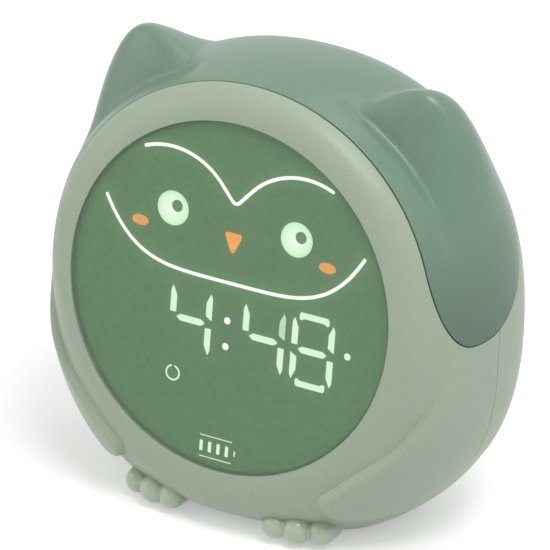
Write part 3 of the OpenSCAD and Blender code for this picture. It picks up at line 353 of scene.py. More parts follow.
# The front housing: ledge, bezel, belly and wings, up to its seams
def front_columns():
    """Columns of (angle on the bezel, angle at the edge, depth of the edge)."""
    cols = []
    # Up the parting line, closest at the tip of the wing, and in to the lobe
    for first, last, step in ((-90, -64, 1.0), (-64, -57, 0.25), (-57, -20.01, 0.8)):
        cols += [(e, e, PARTING) for e in np.arange(first, last, step)]
    for t in np.linspace(0, 1, 17)[1:]:
        cols.append((mix(-20, -9, t), mix(-20, MEET_A, t), PARTING))
    # Round the lobe and up the front edge of the hood
    psi_meet = math.degrees(math.asin(MEET_SIN))
    for psi in np.linspace(psi_meet, 0, 13)[1:-1]:
        e = LOBE_REAR_A - (LOBE_REAR_A - LOBE_A) * math.cos(math.radians(psi))
        cols.append((mix(-9, -6, 1 - psi / psi_meet), e,
                     LOBE_W + (HOOD_BACK - LOBE_W) * math.sin(math.radians(psi))))
    for psi in np.radians(np.linspace(0, 90, 37)):
        e = LOBE_FRONT_A - (LOBE_FRONT_A - LOBE_A) * math.cos(psi)
        cols.append((mix(-6, LOBE_FRONT_A, 1 - math.cos(psi)), e,
                     HOOD_START + (LOBE_W - BEZEL_DROP) * (1 - math.sin(psi))))
    cols += [(e, e, float(hood_front(np.array(e)))) for e in np.linspace(21, 90, 70)]
    return both_sides(cols, 2)


def front_housing(material):
    """The ring-like front: a closed band of rows from the lens over the skin and back inside."""
    inner_a, edge_a, end = front_columns().T

    def angle_at(q):
        return mix(inner_a, edge_a, np.clip((q - BEZEL_DROP) / (end - BEZEL_DROP), 0, None))
    # Depths of the rows: to the crease in front of the wing, across it, and on to the edge
    height = rise(mix(inner_a, edge_a, 0.25))
    crease = np.minimum(wing_front(height) - 0.2, 0.62 * end)
    crest = np.minimum(crease + 2.2, 0.8 * end)
    lens_start = 0.07  # the rounded inner edge takes the place of the first bit of the bezel
    qs = [mix(lens_start, crease, f ** 1.3) for f in np.linspace(0, 1, 27)]
    qs += [mix(crease, crest, f) for f in np.linspace(0, 1, 15)[1:]]
    qs += [mix(crest, end - NEAR_EDGE[-1], f) for f in np.linspace(0, 1, 22)[1:-1]]
    qs += [end - d for d in NEAR_EDGE[::-1]]
    q = np.array(qs)
    a = angle_at(q)
    edge = skin_point(edge_a, end)
    edge = dense(np.vstack([edge, edge[:1]]))
    t = np.zeros_like(q)
    near = slice(-len(NEAR_EDGE) - 1, None)
    t[near] = edge_depth(skin_point(a[near], q[near]), edge, EDGE)
    outer = under_skin(a, q, t)
    # Inner edge at the lens: the ledge, the wall of the recess and a small quarter round
    start_r, start_w = skin(a[0], q[0])
    depth = float(start_r.mean() - LENS_R)
    ledge = ((LEDGE_R, LEDGE_BACK), (LEDGE_R, LEDGE_W), (LENS_R, LEDGE_W))
    rows = [ring_of(r, w, inner_a) for r, w in ledge]
    for phi in np.linspace(90, 0, 7)[:-1]:
        r = LENS_R + (start_r - LENS_R) * (1 - sind(phi))
        rows.append(place(r * cosd(inner_a), start_w + depth * (1 - cosd(phi)), r * sind(inner_a)))
    rows += list(outer)
    # Edge wall and the inner side
    rows.append(under_skin(edge_a, end, WALL))
    for f in (0.75, 0.5, 0.25, 0.08):
        inside_q = mix(crease, end, f)
        rows.append(under_skin(angle_at(inside_q), inside_q, WALL))
    rows.append(ring_of(LENS_R + 2.2, LEDGE_BACK, inner_a))
    faces = grid_faces(len(rows), len(inner_a), True, True)
    obj = new_object("front_shell", np.concatenate(rows), faces, material)
    sharpen(obj, SHARP)
    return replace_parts(obj, "front_housing")


def rear_housing(material):
    """The back of the body, from the parting line and the hood's edge to the hole of the panel."""
    start_w = PARTING + PART_GAP
    cols = [(e, start_w) for e in np.arange(-90, MEET_A - 1e-6, 1.5)]
    for t in np.linspace(0, 1, 40):
        e = mix(MEET_A, LOBE_REAR_A, 1 - math.cos(math.radians(90 * t)))
        cols.append((e, max(start_w, float(hood_rear(np.array(e))))))
    cols += [(e, float(hood_rear(np.array(e)))) for e in np.linspace(LOBE_REAR_A, 90, 56)[1:]]
    angles, start = both_sides(cols, 1).T
    rim = rim_at(angles, HOLE_R)
    qs = [start + d for d in NEAR_EDGE]
    for f in np.linspace(0, 1, 44)[1:-1]:
        qs.append(mix(start + NEAR_EDGE[-1], rim - 0.5, 1 - (1 - f) ** 1.7))
    qs += [rim - d for d in (0.3, 0.18, 0.1, 0.05, 0.02, 0)]
    q = np.array(qs)
    a = np.broadcast_to(angles, q.shape)
    t = np.zeros_like(q)
    near_start, near_rim = slice(0, len(NEAR_EDGE) + 1), slice(-8, None)
    for part, edge in ((near_start, skin_point(angles, start)), (near_rim, skin_point(angles, rim))):
        edge = dense(np.vstack([edge, edge[:1]]))
        t[part] = edge_depth(skin_point(a[part], q[part]), edge, EDGE)
    rows = [under_skin(angles, start, WALL)] + list(under_skin(a, q, t))
    # The wall of the hole, the seat of the panel and the inner side
    seat_back = PANEL_BACK - SEAT_T
    rows += [ring_of(HOLE_R, w, angles) for w in (PANEL_FACE - 0.6, PANEL_FACE - 1.4, PANEL_BACK)]
    rows += [ring_of(SEAT_R, PANEL_BACK, angles), ring_of(SEAT_R, seat_back, angles)]
    rows.append(ring_of(HOLE_R + 2.4, seat_back, angles))
    for f in (0.9, 0.7, 0.5, 0.3, 0.12):
        rows.append(under_skin(angles, mix(start, rim, f), WALL))
    faces = grid_faces(len(rows), len(angles), True, True)
    obj = new_object("rear_shell", np.concatenate(rows), faces, material)
    sharpen(obj, SHARP)
    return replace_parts(obj, "rear_housing")


def soft_crease(rows, k, share):
    """A small fillet along row k, by evening out the rows on both sides of it."""
    rows = rows.copy()
    reach, rounds = 9, 12
    fade = smooth((1 - np.abs(np.arange(-reach, reach + 1)) / reach) * 1.6)[:, None, None]
    for _ in range(rounds):
        part = rows[k - reach - 1:k + reach + 2]
        even = mix(part[1:-1], (part[:-2] + part[2:]) / 2, 0.5)
        rows[k - reach:k + reach + 1] = mix(part[1:-1], even, fade * share[None, :, None])
    return rows


def hood(material):
    """The darker top shell, a strip from lobe to lobe that both ears rise from."""
    tip = LOBE_A + 0.27  # degrees; higher by the seam
    psi = np.linspace(0, 90, 49)
    crown = np.linspace(LOBE_FRONT_A, 90, 141)[1:]
    right_a = np.concatenate([LOBE_FRONT_A - (LOBE_FRONT_A - tip) * cosd(psi), crown])
    seam = SEAM * np.concatenate([sind(psi), np.ones(len(crown))])  # it closes towards the lobes' tips
    front, rear = hood_front(right_a, tip) + seam, hood_rear(right_a, tip) - 1.5 * seam
    angles = np.concatenate([right_a, 180 - right_a[-2::-1]])
    front, rear = (np.concatenate([v, v[-2::-1]]) for v in (front, rear))
    last_near = NEAR_EDGE[-1]
    room = 0.3 * (rear - front)
    qs = [front + np.minimum(d, room * d / last_near) for d in NEAR_EDGE]
    first, last = qs[-1], rear - np.minimum(last_near, room)
    # In front of the ears to the crease, up to the ridge, and back; evenly at the lobes
    height = rise(angles)
    crease, ridge = EAR_W - EAR_F, EAR_W + EAR_SWEEP * np.maximum(0, EAR_A - height)
    at_ear = smooth((height - 8) / 16)

    def row(even, by_ear):
        return mix(mix(first, last, even), by_ear, at_ear)
    qs += [row(0.22 * f, mix(first, crease, f)) for f in np.arange(1, 22) / 22]
    qs += [row(0.22 + 0.3 * f, mix(crease, ridge, 0.35 * f + 0.65 * f ** 2.2)) for f in np.arange(34) / 34]
    qs += [row(0.52 + 0.48 * f, mix(ridge, last, f)) for f in np.arange(34) / 34]
    qs += [rear - np.minimum(d, room * d / last_near) for d in NEAR_EDGE[::-1]]
    q = np.array(qs)
    a = np.broadcast_to(angles, q.shape)
    edge = np.vstack([skin_point(angles, front), skin_point(angles, rear)[::-1]])
    t = edge_depth(skin_point(a, q), dense(edge), EDGE)
    before_crease = len(NEAR_EDGE) + 20
    outer = soft_crease(under_skin(a, q, t), before_crease, at_ear)
    inner = [under_skin(angles, mix(front, rear, f), WALL)
             for f in (1, 0.9, 0.78, 0.66, 0.55, 0.45, 0.36, 0.27, 0.18, 0.09, 0)]
    rows = list(outer) + inner
    faces = grid_faces(len(rows), len(angles), False, True)
    obj = new_object("hood_shell", np.concatenate(rows), faces, material)
    sharpen(obj, SHARP)
    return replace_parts(obj, "hood")


# ---- Materials -------------------------------------------------------------------------------
def srgb(*levels):
    """A colour given in levels from 0 to 255, as the linear values that shaders take."""
    levels = [c / 255 for c in levels]
    return [c / 12.92 if c <= 0.04045 else ((c + 0.055) / 1.055) ** 2.4 for c in levels]


def shades(colour, vary):
    """A colour darkened and lightened by this share."""
    return [c * (1 - vary) for c in colour], [min(1, c * (1 + vary)) for c in colour]


class Nodes:
    """A material's node tree, with short calls to add nodes and link them."""

    def __init__(self, name):
        self.mat = bpy.data.materials.new(name)
        self.mat.use_nodes = True
        self.tree = self.mat.node_tree
        self.bsdf = self.tree.nodes["Principled BSDF"]

    def add(self, kind, **values):
        """A node, with values for its settings or, with _ for a space, for its inputs."""
        n = self.tree.nodes.new(kind)
        for key, value in values.items():
            if hasattr(n, key):
                setattr(n, key, value)
            else:
                n.inputs[key.replace("_", " ")].default_value = value
        return n

    def link(self, a, b):
        self.tree.links.new(a, b)

    def where(self):
        """The place on the piece, in metres."""
        return self.add("ShaderNodeTexCoord").outputs["Object"]

    def feed(self, **sources):
        """Sets the shader's own inputs, to a plain value or to another node's output."""
        for key, source in sources.items():
            socket = self.bsdf.inputs[key.replace("_", " ")]
            if isinstance(source, bpy.types.NodeSocket):
                self.link(source, socket)
            else:
                socket.default_value = source

    def noise(self, scale, detail, rough, output="Fac"):
        node = self.add("ShaderNodeTexNoise", Scale=scale, Detail=detail, Roughness=rough)
        self.link(self.where(), node.inputs["Vector"])
        return node.outputs[output]

    def between(self, share, low, high):
        """A colour between two, by a share."""
        node = self.add("ShaderNodeMix", data_type="RGBA")
        self.link(share, node.inputs["Factor"])
        node.inputs[6].default_value = [*low, 1]
        node.inputs[7].default_value = [*high, 1]
        return node.outputs[2]

    def times(self, colour, by, share=1.0):
        """A colour times another, to a share."""
        node = self.add("ShaderNodeMix", data_type="RGBA", blend_type="MULTIPLY")
        node.inputs["Factor"].default_value = share
        self.link(colour, node.inputs[6])
        self.link(by, node.inputs[7])
        return node.outputs[2]

    def spread(self, value, low, high, start=0.0, stop=1.0, curve="LINEAR"):
        """From low to high as the value goes from start to stop."""
        node = self.add("ShaderNodeMapRange", interpolation_type=curve,
                        From_Min=start, From_Max=stop, To_Min=low, To_Max=high)
        self.link(value, node.inputs["Value"])
        return node.outputs["Result"]

    def bump(self, height, strength, distance):
        node = self.add("ShaderNodeBump", Strength=strength, Distance=distance)
        self.link(height, node.inputs["Height"])
        self.feed(Normal=node.outputs["Normal"])


FLOW, SPECK, GRAIN = 38, 1900, 2600  # noise per metre: flow marks, eroded specks, fine grain


def moulded(name, colour, rough, grain=0.05, coat=0.0, scatter=0.0, dim=None):
    """Satin moulded plastic: a fine eroded grain, slight flow variation in colour and roughness.
    dim=(z0, z1, low) paints shade on it, darkening it to low from the height z1 down to z0."""
    m = Nodes(name)
    flow = m.noise(FLOW, 3.0, 0.5)
    speck = m.spread(m.noise(SPECK, 3.0, 0.8), 0.92, 1.08, 0.3, 0.7)
    tone = m.times(m.between(flow, *shades(colour, 0.03)), speck)
    # Painted shade: the colour grows darker lower down, to the share low at the height z0
    if dim:
        z0, z1, low = dim
        height = m.add("ShaderNodeSeparateXYZ")
        m.link(m.where(), height.inputs[0])
        tone = m.times(tone, m.spread(height.outputs["Z"], low, 1.0, z0, z1, "SMOOTHSTEP"))
    m.feed(Base_Color=tone, Roughness=m.spread(flow, rough - 0.04, rough + 0.05))
    m.bump(m.noise(GRAIN, 2.0, 0.6), grain, 0.00004)
    m.feed(Coat_Weight=coat, Coat_Roughness=0.25)
    if scatter:
        m.feed(Subsurface_Weight=scatter, Subsurface_Radius=(0.5, 1.0, 0.7), Subsurface_Scale=0.002)
    return m.mat


def plain(name, colour, rough=0.5, metal=0.0, scale=400, bump=0.05, coat=0.0):
    """Paper, metal, rubber, boards: one colour with a little fine variation in tone and roughness."""
    m = Nodes(name)
    noise = m.noise(scale, 4.0, 0.6)
    m.feed(Base_Color=m.between(noise, *shades(colour, 0.06)),
           Roughness=m.spread(noise, max(0.02, rough - 0.06), rough + 0.06))
    m.bump(noise, bump, 0.00003)
    m.feed(Metallic=metal, Coat_Weight=coat)
    return m.mat


GUIDE_BODY = (0.02, 0.02, 0.02, 1)  # a light guide without its light


def lit(name, colour, strength=1.0, soft=0.05):
    """A lit light guide: its glow is even, with a faint mottle from the diffuser behind it."""
    m = Nodes(name)
    glow = m.between(m.noise(260.0, 1.5, 0.5), [c * (1 - soft) for c in colour], colour)
    m.feed(Emission_Color=glow, Emission_Strength=strength, Base_Color=GUIDE_BODY,
           Roughness=0.6, Specular_IOR_Level=0.0)
    return m.mat


def toned(name, attribute):
    """A lit light guide whose colour lies on its points."""
    m = Nodes(name)
    tone = m.add("ShaderNodeAttribute", attribute_name=attribute).outputs["Color"]
    glow = m.times(tone, m.noise(420.0, 2.0, 0.5, "Color"), 0.08)
    m.feed(Emission_Color=glow, Emission_Strength=1.14, Base_Color=GUIDE_BODY, Specular_IOR_Level=0.0)
    return m.mat


def clear_acrylic(name):
    """A clear pane with a satin gloss that grows at a glancing angle."""
    m = Nodes(name)
    m.feed(Base_Color=(0.02, 0.035, 0.025, 1), Roughness=m.spread(m.noise(9.0, 1.0, 0.4), 0.17, 0.24))
    clear = m.add("ShaderNodeBsdfTransparent", Color=(0.975, 0.99, 0.975, 1))
    facing = m.add("ShaderNodeLayerWeight", Blend=0.5)
    power = m.add("ShaderNodeMath", operation="POWER")
    power.inputs[1].default_value = 4.0
    m.link(facing.outputs["Facing"], power.inputs[0])
    both = m.add("ShaderNodeMixShader")
    m.link(m.spread(power.outputs[0], 0.05, 0.7), both.inputs["Fac"])
    m.link(clear.outputs["BSDF"], both.inputs[1])
    m.link(m.bsdf.outputs["BSDF"], both.inputs[2])
    m.link(both.outputs["Shader"], m.tree.nodes["Material Output"].inputs["Surface"])
    return m.mat


def printed_film(name, colour, attribute):
    """Printed film behind the lens, which passes a faint glow round the lit guides."""
    m = Nodes(name)
    glow = m.add("ShaderNodeAttribute", attribute_name=attribute).outputs["Color"]
    m.feed(Base_Color=m.between(m.noise(900.0, 3.0, 0.7), *shades(colour, 0.2)), Roughness=0.55,
           Specular_IOR_Level=0.2, Emission_Color=glow, Emission_Strength=1.0)
    return m.mat


HOUSING = moulded("housing_plastic", srgb(166, 181, 161), rough=0.42)
# The hood gets painted shade: darker from a height of 105 mm down to 45 mm, to 0.46 at the bottom
HOOD = moulded("hood_plastic", srgb(118, 147, 127), rough=0.29, scatter=0.12, dim=(0.045, 0.105, 0.46))
# The feet are the housing's plastic: their paler colour is painted light for the brighter toes, and they
# are also glossier
FOOT = moulded("foot_plastic_painted_light", srgb(181, 197, 174), rough=0.22, coat=0.6)
PANEL = moulded("panel_plastic", srgb(160, 176, 152), rough=0.5, grain=0.12)
BUTTON = moulded("button_plastic", srgb(196, 206, 190), rough=0.38)
LENS = clear_acrylic("lens_acrylic")
FILM_PRINT = printed_film("film_print", srgb(135, 168, 134), "glow")
WHITE_LIGHT = lit("light_white", srgb(254, 255, 248), strength=1.17, soft=0.03)
MINT_LIGHT = lit("light_mint", srgb(230, 254, 228), strength=1.07)
DIM_LIGHT = lit("light_dim", srgb(204, 236, 202))
EYE_LIGHT = toned("light_eye", "tone")
ORANGE_LIGHT = lit("light_orange", srgb(246, 170, 101), strength=1.12, soft=0.06)
CHEEK_LIGHT = lit("light_cheek", srgb(243, 175, 112), soft=0.06)
PUPIL = plain("pupil_print", srgb(140, 181, 138), rough=0.6, scale=1500)
DARK = plain("dark_plastic", srgb(52, 56, 54), rough=0.5)
RUBBER = plain("rubber", srgb(60, 62, 60), rough=0.85, scale=1200, bump=0.3)
STEEL = plain("steel", srgb(190, 192, 194), rough=0.3, metal=1.0, scale=900)
PAPER = plain("paper", srgb(44, 44, 46), rough=0.9, scale=1600, bump=0.5)
WHITE = moulded("white_plastic", srgb(232, 234, 226), rough=0.5)
BOARD = plain("board", srgb(40, 92, 60), rough=0.35, scale=300, coat=0.4)
CELL = plain("cell_sleeve", srgb(72, 118, 178), rough=0.3, scale=120, coat=0.3)
LED = plain("led", srgb(246, 238, 190), rough=0.3, scale=900)

# ---- The shells, the lens and the display ----------------------------------------------------
front_housing(HOUSING)
rear_housing(HOUSING)
hood(HOOD)


def lathe(name, profile, segments, material):
    """A turned piece about the axis of the lens; profile is a list of (radius, depth)."""
    angles = np.arange(segments) * 360 / segments
    rows = [ring_of(r, w, angles) for r, w in profile]
    obj = new_object(name, np.concatenate(rows), grid_faces(len(rows), segments, True), material)
    sharpen(obj, 35)
    return obj


def rounded_profile(r, w0, w1, edge0, edge1):
    """Profile of a disc from depth w0 to w1 with rounded rims, closed at the axis."""
    bends = [math.radians(b) for b in range(0, 91, 15)]
    first = [(r - edge0 + edge0 * math.sin(b), w0 + edge0 - edge0 * math.cos(b)) for b in bends]
    second = [(r - edge1 + edge1 * math.cos(b), w1 - edge1 + edge1 * math.sin(b)) for b in bends]
    return [(0.0, w0)] + first + second + [(0.0, w1)]


pane = rounded_profile(LENS_R - PART_GAP, LENS_W, LENS_W + LENS_T - 0.03, edge0=0.3, edge1=0.05)
lens = lathe("lens", pane, 240, LENS)
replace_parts(lens, "display_lens")


def shape(name, loops, w0, w1, material):
    """Flat shapes on the face between two depths. A loop inside another is a hole."""
    curve = bpy.data.curves.new(name, "CURVE")
    curve.dimensions = "2D"
    curve.fill_mode = "BOTH"
    curve.extrude = (w1 - w0) / 2 * MM
    for loop in loops:
        spline = curve.splines.new("POLY")
        spline.points.add(len(loop) - 1)
        for point, (x, z) in zip(spline.points, loop):
            point.co = (x * MM, z * MM, 0, 1)
        spline.use_cyclic_u = True
    co, faces = taken_apart(add_object(name + "_curve", curve))
    verts = place(co[:, 0], (w0 + w1) / 2 - co[:, 2], co[:, 1])
    return new_object(name, verts, faces, material, flat=True)


def arc(x, z, r, angles):
    """A list of points round (x, z)."""
    return [(x + r * math.cos(math.radians(b)), z + r * math.sin(math.radians(b))) for b in angles]


def circle(x, z, r, n=48, rz=None):
    """A circle, or an ellipse with rz as half its height."""
    b = np.arange(n) * 360 / n
    return np.stack([x + r * cosd(b), z + (rz or r) * sind(b)], -1)


def box_loop(x, z, w, h):
    """A rectangle about (x, z)."""
    return np.array([(x + i * w / 2, z + k * h / 2) for i, k in ((-1, -1), (1, -1), (1, 1), (-1, 1))])


def stroke(points, width):
    """Outline of a line of even width with round ends."""
    p = np.array(points, float)
    d = np.gradient(p, axis=0)
    d /= np.linalg.norm(d, axis=1, keepdims=True)
    side = np.stack([-d[:, 1], d[:, 0]], -1)
    half, b = width / 2, np.linspace(90, -90, 10)[1:-1, None]

    def end(c, along, across):
        return c + (along * cosd(b) + across * sind(b)) * half
    return np.vstack([p + side * half, end(p[-1], d[-1], side[-1]),
                      (p - side * half)[::-1], end(p[0], -d[0], -side[0])])


# Places on the face, in mm across and up from the middle of the lens
EYES = [(-19.4, 21.6), (19.4, 21.6)]
CHEEKS = [(-29.4, 15.9), (29.4, 15.9)]
EYE_R, PUPIL_R, PUPIL_X, PUPIL_Z = 4.9, 1.7, 1.3, 0.9  # pupils right of and over the middle
CHEEK_RX, CHEEK_RZ = 2.6, 1.5
LINE_W, BAR_W = 1.0, 1.9
DIGIT_H, DIGIT_W, DIGIT_Z = 19.4, 11.3, -8.9
right_brow = arc(21, 17, 22, range(68, 141, 2))
notch = arc(0, 28.9, 1.6, range(-30, -151, -10))
left_brow = [(-x, z) for x, z in reversed(right_brow)]
BROWS = right_brow + notch + left_brow
CHEEK_END = 40.4
cheek_xs = CHEEK_END * sind(np.linspace(-90, 90, 97))
CHEEK_LINE = np.stack([cheek_xs, 4.5 + 16.3 * (np.abs(cheek_xs) / CHEEK_END) ** 4.4], -1)
BEAK = [p for x, z, b0, b1 in ((1.8, 18.1, -24, 90), (-1.8, 18.1, 90, 204), (0, 14.1, 204, 336))
        for p in arc(x, z, 0.8, np.linspace(b0, b1, 9))]


def flat_bar(cx, cz, kind):
    """A level bar of a digit: bent over at its ends at the top and bottom, pointed in the middle."""
    e, h = (DIGIT_W - 2.3) / 2, BAR_W / 2
    if kind == "middle":
        level = e - h * 1.3
        pts = [(-e, 0), (-level, h), (level, h), (e, 0), (level, -h), (-level, -h)]
    else:
        half = [(e - 0.4, h), (e + 0.1, h - 0.5), (e + 0.1, -h - 0.15), (e - 0.5, -h - 0.4),
                (e - 1.5, -h + 0.15)]
        pts = half + [(-x, z) for x, z in reversed(half)]
        if kind == "bottom":
            pts = [(x, -z) for x, z in pts]
    return [(cx + x, cz + z) for x, z in pts]


def upright_bar(cx, cz, side, toward, cut):
    """An upright bar: a point at the outer end, and a level or slanting end at the digit's middle."""
    e, h = (DIGIT_H / 2 - 2.2) / 2, BAR_W / 2
    pts = [(-side * h, e - 2.6), (side * 0.35 * h, e + 0.15), (side * h, e - 1.2),
           (side * h, -e), (-side * h, 1.1 - e if cut else -e)]
    return [(cx + x, cz + toward * z) for x, z in pts]


def digit(cx):
    """The seven bars: top, upper right, lower right, bottom, lower left, upper left, middle."""
    up, side = DIGIT_H / 2, DIGIT_W / 2
    zu, zl = DIGIT_Z + up / 2 + 0.1, DIGIT_Z - up / 2 - 0.1
    return [flat_bar(cx, DIGIT_Z + up, "top"), upright_bar(cx + side, zu, 1, 1, True),
            upright_bar(cx + side, zl, 1, -1, False), flat_bar(cx, DIGIT_Z - up, "bottom"),
            upright_bar(cx - side, zl, -1, -1, True), upright_bar(cx - side, zu, -1, 1, False),
            flat_bar(cx, DIGIT_Z, "middle")]


FOUR = (1, 2, 5, 6)  # the bars of a 4
hours, tens, ones = digit(-11.5), digit(11.5), digit(26.8)
dim_bar = tens[1]
bars = [hours[k] for k in FOUR] + [tens[k] for k in FOUR[1:]] + ones
dots = [circle(0, -10.1 + z, 1.0) for z in (-3.75, 3.75)]
lines = [stroke(BROWS, LINE_W), stroke(CHEEK_LINE, LINE_W)]
LIT0, LIT1 = MASK_W + 0.01, MASK_W + 0.12
shape("lit_digits", bars, LIT0, LIT1, MINT_LIGHT)
shape("lit_bar_dim", [dim_bar], LIT0, LIT1, DIM_LIGHT)
shape("lit_lines", lines + dots, LIT0, LIT1, WHITE_LIGHT)


def on_face(obj):
    """The places of a piece's points on the face, in millimetres."""
    co = np.array([v.co for v in obj.data.vertices], float) / MM
    return np.stack([co[:, 0], (co[:, 1] - FACE_Y) * SIN_T + (co[:, 2] - LENS_Z) * COS_T], -1)


def colour_points(obj, attribute, colours):
    """Stores a colour for each point of a piece, for its material."""
    layer = obj.data.attributes.new(attribute, "FLOAT_COLOR", "POINT")
    rgba = np.hstack([colours, np.ones((len(colours), 1))])
    layer.data.foreach_set("color", rgba.astype(np.float32).ravel())


def eyes():
    """Lit discs, paler in their middle, and palest a little left of it and below."""
    n, rings = 72, np.concatenate([[0.0], np.linspace(0.4, EYE_R, 14)])
    angles = np.arange(n) * 360 / n
    verts, faces = [], []
    for x, z in EYES:
        rows = [place(x + r * cosd(angles), np.full(n, LIT0 + 0.005), z + r * sind(angles)) for r in rings]
        rows += [place(x + r * cosd(angles), np.full(n, LIT1), z + r * sind(angles)) for r in (EYE_R, 0)]
        base = len(verts) * n
        verts += rows
        faces += [tuple(base + v for v in f) for f in grid_faces(len(rows), n, True)]
    obj = new_object("lit_eyes", np.concatenate(verts), faces, EYE_LIGHT)
    x, z = on_face(obj).T
    away = np.minimum(*[np.hypot(x - ex, z - ez) for ex, ez in EYES]) / EYE_R
    spot = np.minimum(*[np.hypot(x - ex + 0.5, z - ez + 0.4) for ex, ez in EYES]) / EYE_R
    rim, pale, white = (np.array(srgb(*c)) for c in ((206, 243, 206), (228, 254, 223), (252, 255, 247)))
    inner = mix(pale, rim, smooth((away - 0.55) / 0.5)[:, None])
    colour_points(obj, "tone", mix(inner, white, 1 - smooth(spot / 0.5)[:, None]))
    sharpen(obj, 40)
    return obj


eyes()
pupils = [circle(x + PUPIL_X, z + PUPIL_Z, PUPIL_R, 40) for x, z in EYES]
shape("pupils", pupils, LIT0 - 0.01, LIT1 - 0.02, PUPIL)
cheeks = [circle(x, z, CHEEK_RX, 40, CHEEK_RZ) for x, z in CHEEKS]
shape("cheeks", cheeks, LIT0, LIT1, CHEEK_LIGHT)
shape("beak", [BEAK], LIT0, LIT1, ORANGE_LIGHT)

# The charge meter, and an open ring and a dot where other clocks have words
ICON_X, ICON_Z = -5.3, -44.0
charge = [box_loop(ICON_X + 2.7 * k, ICON_Z, 1.0, 3.0) for k in range(4)]
charge += [box_loop(-0.7, ICON_Z + z, 10.2, 0.26) for z in (-3.1, 3.1)] + [box_loop(5.3, ICON_Z, 0.4, 1.5)]
ring = arc(-15.9, -25.4, 2.3, range(78, -259, -8)) + arc(-15.9, -25.4, 1.8, range(-258, 79, 8))
half_day = circle(37.6, -7.4, 1.0)
shape("lit_icons", charge + [ring, half_day], LIT0, LIT1, MINT_LIGHT)


def film():
    """The printed film, with the halo of the lit parts as a colour on its points."""
    n = 220
    angles = np.arange(n) * 360 / n
    rows = [ring_of(r, MASK_W + 0.05, angles) for r in [0.0, *np.linspace(0.5, FILM_R, 99)]]
    rows += [ring_of(FILM_R, FRAME_W, angles), ring_of(0.0, FRAME_W, angles)]
    obj = new_object("display_film", np.concatenate(rows), grid_faces(len(rows), n, True), FILM_PRINT)
    sharpen(obj, 40)
    flat = on_face(obj)

    def closed(loop):
        return np.array([*loop, loop[0]], float)

    def away_from(spots):
        """The distance from each point of the film to the nearest of these."""
        d = np.full(len(flat), 1e9)
        for part in np.split(spots, range(200, len(spots), 200)):
            d = np.minimum(d, np.sqrt(((flat[:, None] - part[None]) ** 2).sum(-1)).min(1))
        return d
    line_spots = np.vstack([dense(np.array(BROWS), 0.5), dense(CHEEK_LINE, 0.5)])
    bar_spots = np.vstack([dense(closed(b), 0.5) for b in bars])
    eye_spots = np.vstack([dense(closed(circle(x, z, EYE_R - 1)), 0.6) for x, z in EYES])
    warm_spots = np.vstack([circle(x, z, 1.6, 16, 0.8) for x, z in CHEEKS] + [np.array(BEAK[::3])])
    cool = sum(strength * np.exp(-away_from(spots) / reach) for spots, strength, reach in (
        (line_spots, 0.5, 1.9), (bar_spots, 0.3, 1.2), (eye_spots, 0.34, 1.6)))
    warm = 0.4 * np.exp(-away_from(warm_spots) / 1.1)
    colour_points(obj, "glow", np.outer(cool, (0.055, 0.13, 0.04)) + np.outer(warm, (0.16, 0.05, 0.01)))
    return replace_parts(obj, "display_mask")


film()


# ---- Feet: toes and sole grown together, with soft creases between them ----------------------
FOOT_GRID = 0.00028  # metres between the points of a foot
TOES = ((-1, 0.94, -0.8), (0, 1.02, 0), (1, 0.94, 2.3))  # place from inside out, size, how far back


def capsule(bm, p, q, r0, r1):
    """A rounded bar between two points, as one closed mesh."""
    p, q = Vector(p), Vector(q)
    axis = (q - p).normalized()
    for v in bmesh.ops.create_icosphere(bm, subdivisions=4, radius=MM)["verts"]:
        n = v.co / MM
        v.co = ((p + n * r0) if n.dot(axis) < 0 else (q + n * r1)) * MM


def grown_together(bm):
    """One smooth skin round overlapping meshes, as points and faces."""
    mesh = bpy.data.meshes.new("foot_raw")
    bm.to_mesh(mesh)
    bm.free()
    raw = add_object("foot_raw", mesh)
    grow = raw.modifiers.new("grow", "REMESH")
    grow.mode = "VOXEL"
    grow.voxel_size = FOOT_GRID
    ease = raw.modifiers.new("ease", "SMOOTH")
    ease.factor, ease.iterations = 0.5, 6
    return taken_apart(raw)


def foot(side):
    """A foot on the left (-1) or the right (1)."""
    toe_cy = FACE_Y - TOE_Y
    toe_z = PAD_T + TOE_R
    bm = bmesh.new()
    for k, size, behind in TOES:
        x, y, r = side * (TOE_X + k * TOE_PITCH), toe_cy + behind, TOE_R * size
        heel = (side * (TOE_X + k * TOE_PITCH * 0.9), toe_cy + 16.5, PAD_T + 2.7)
        capsule(bm, (x, y, toe_z - 0.15), (x, y + 5, toe_z - 0.4), r, r)
        capsule(bm, (x, y + 4, PAD_T + 3), heel, 3, 2.7)
    co, faces = grown_together(bm)
    co[:, 2] = np.maximum(co[:, 2], PAD_T)
    # Inside the body the foot stops just under the skin
    y, z = co[:, 1] - FACE_Y, co[:, 2] - LENS_Z
    w, above = y * COS_T - z * SIN_T, y * SIN_T + z * COS_T
    a, r = np.degrees(np.arctan2(above, co[:, 0])), np.hypot(co[:, 0], above)
    on_bezel = np.sqrt(np.clip(w / BEZEL_DROP, 0, 1)) * BEZEL_DROP
    least = skin(a, np.where(w > 0, np.where(w < BEZEL_DROP, on_bezel, w), 0))[0] - 0.9
    r = np.where(w > 0.3, np.maximum(r, least), r)
    co = place(r * cosd(a), w, r * sind(a))
    co[:, 2] = np.maximum(co[:, 2], PAD_T)
    name = ("left" if side < 0 else "right") + "_foot"
    obj = new_object(name + "_toes", co, faces, FOOT)
    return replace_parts(obj, name)


for side in (-1, 1):
    foot(side)


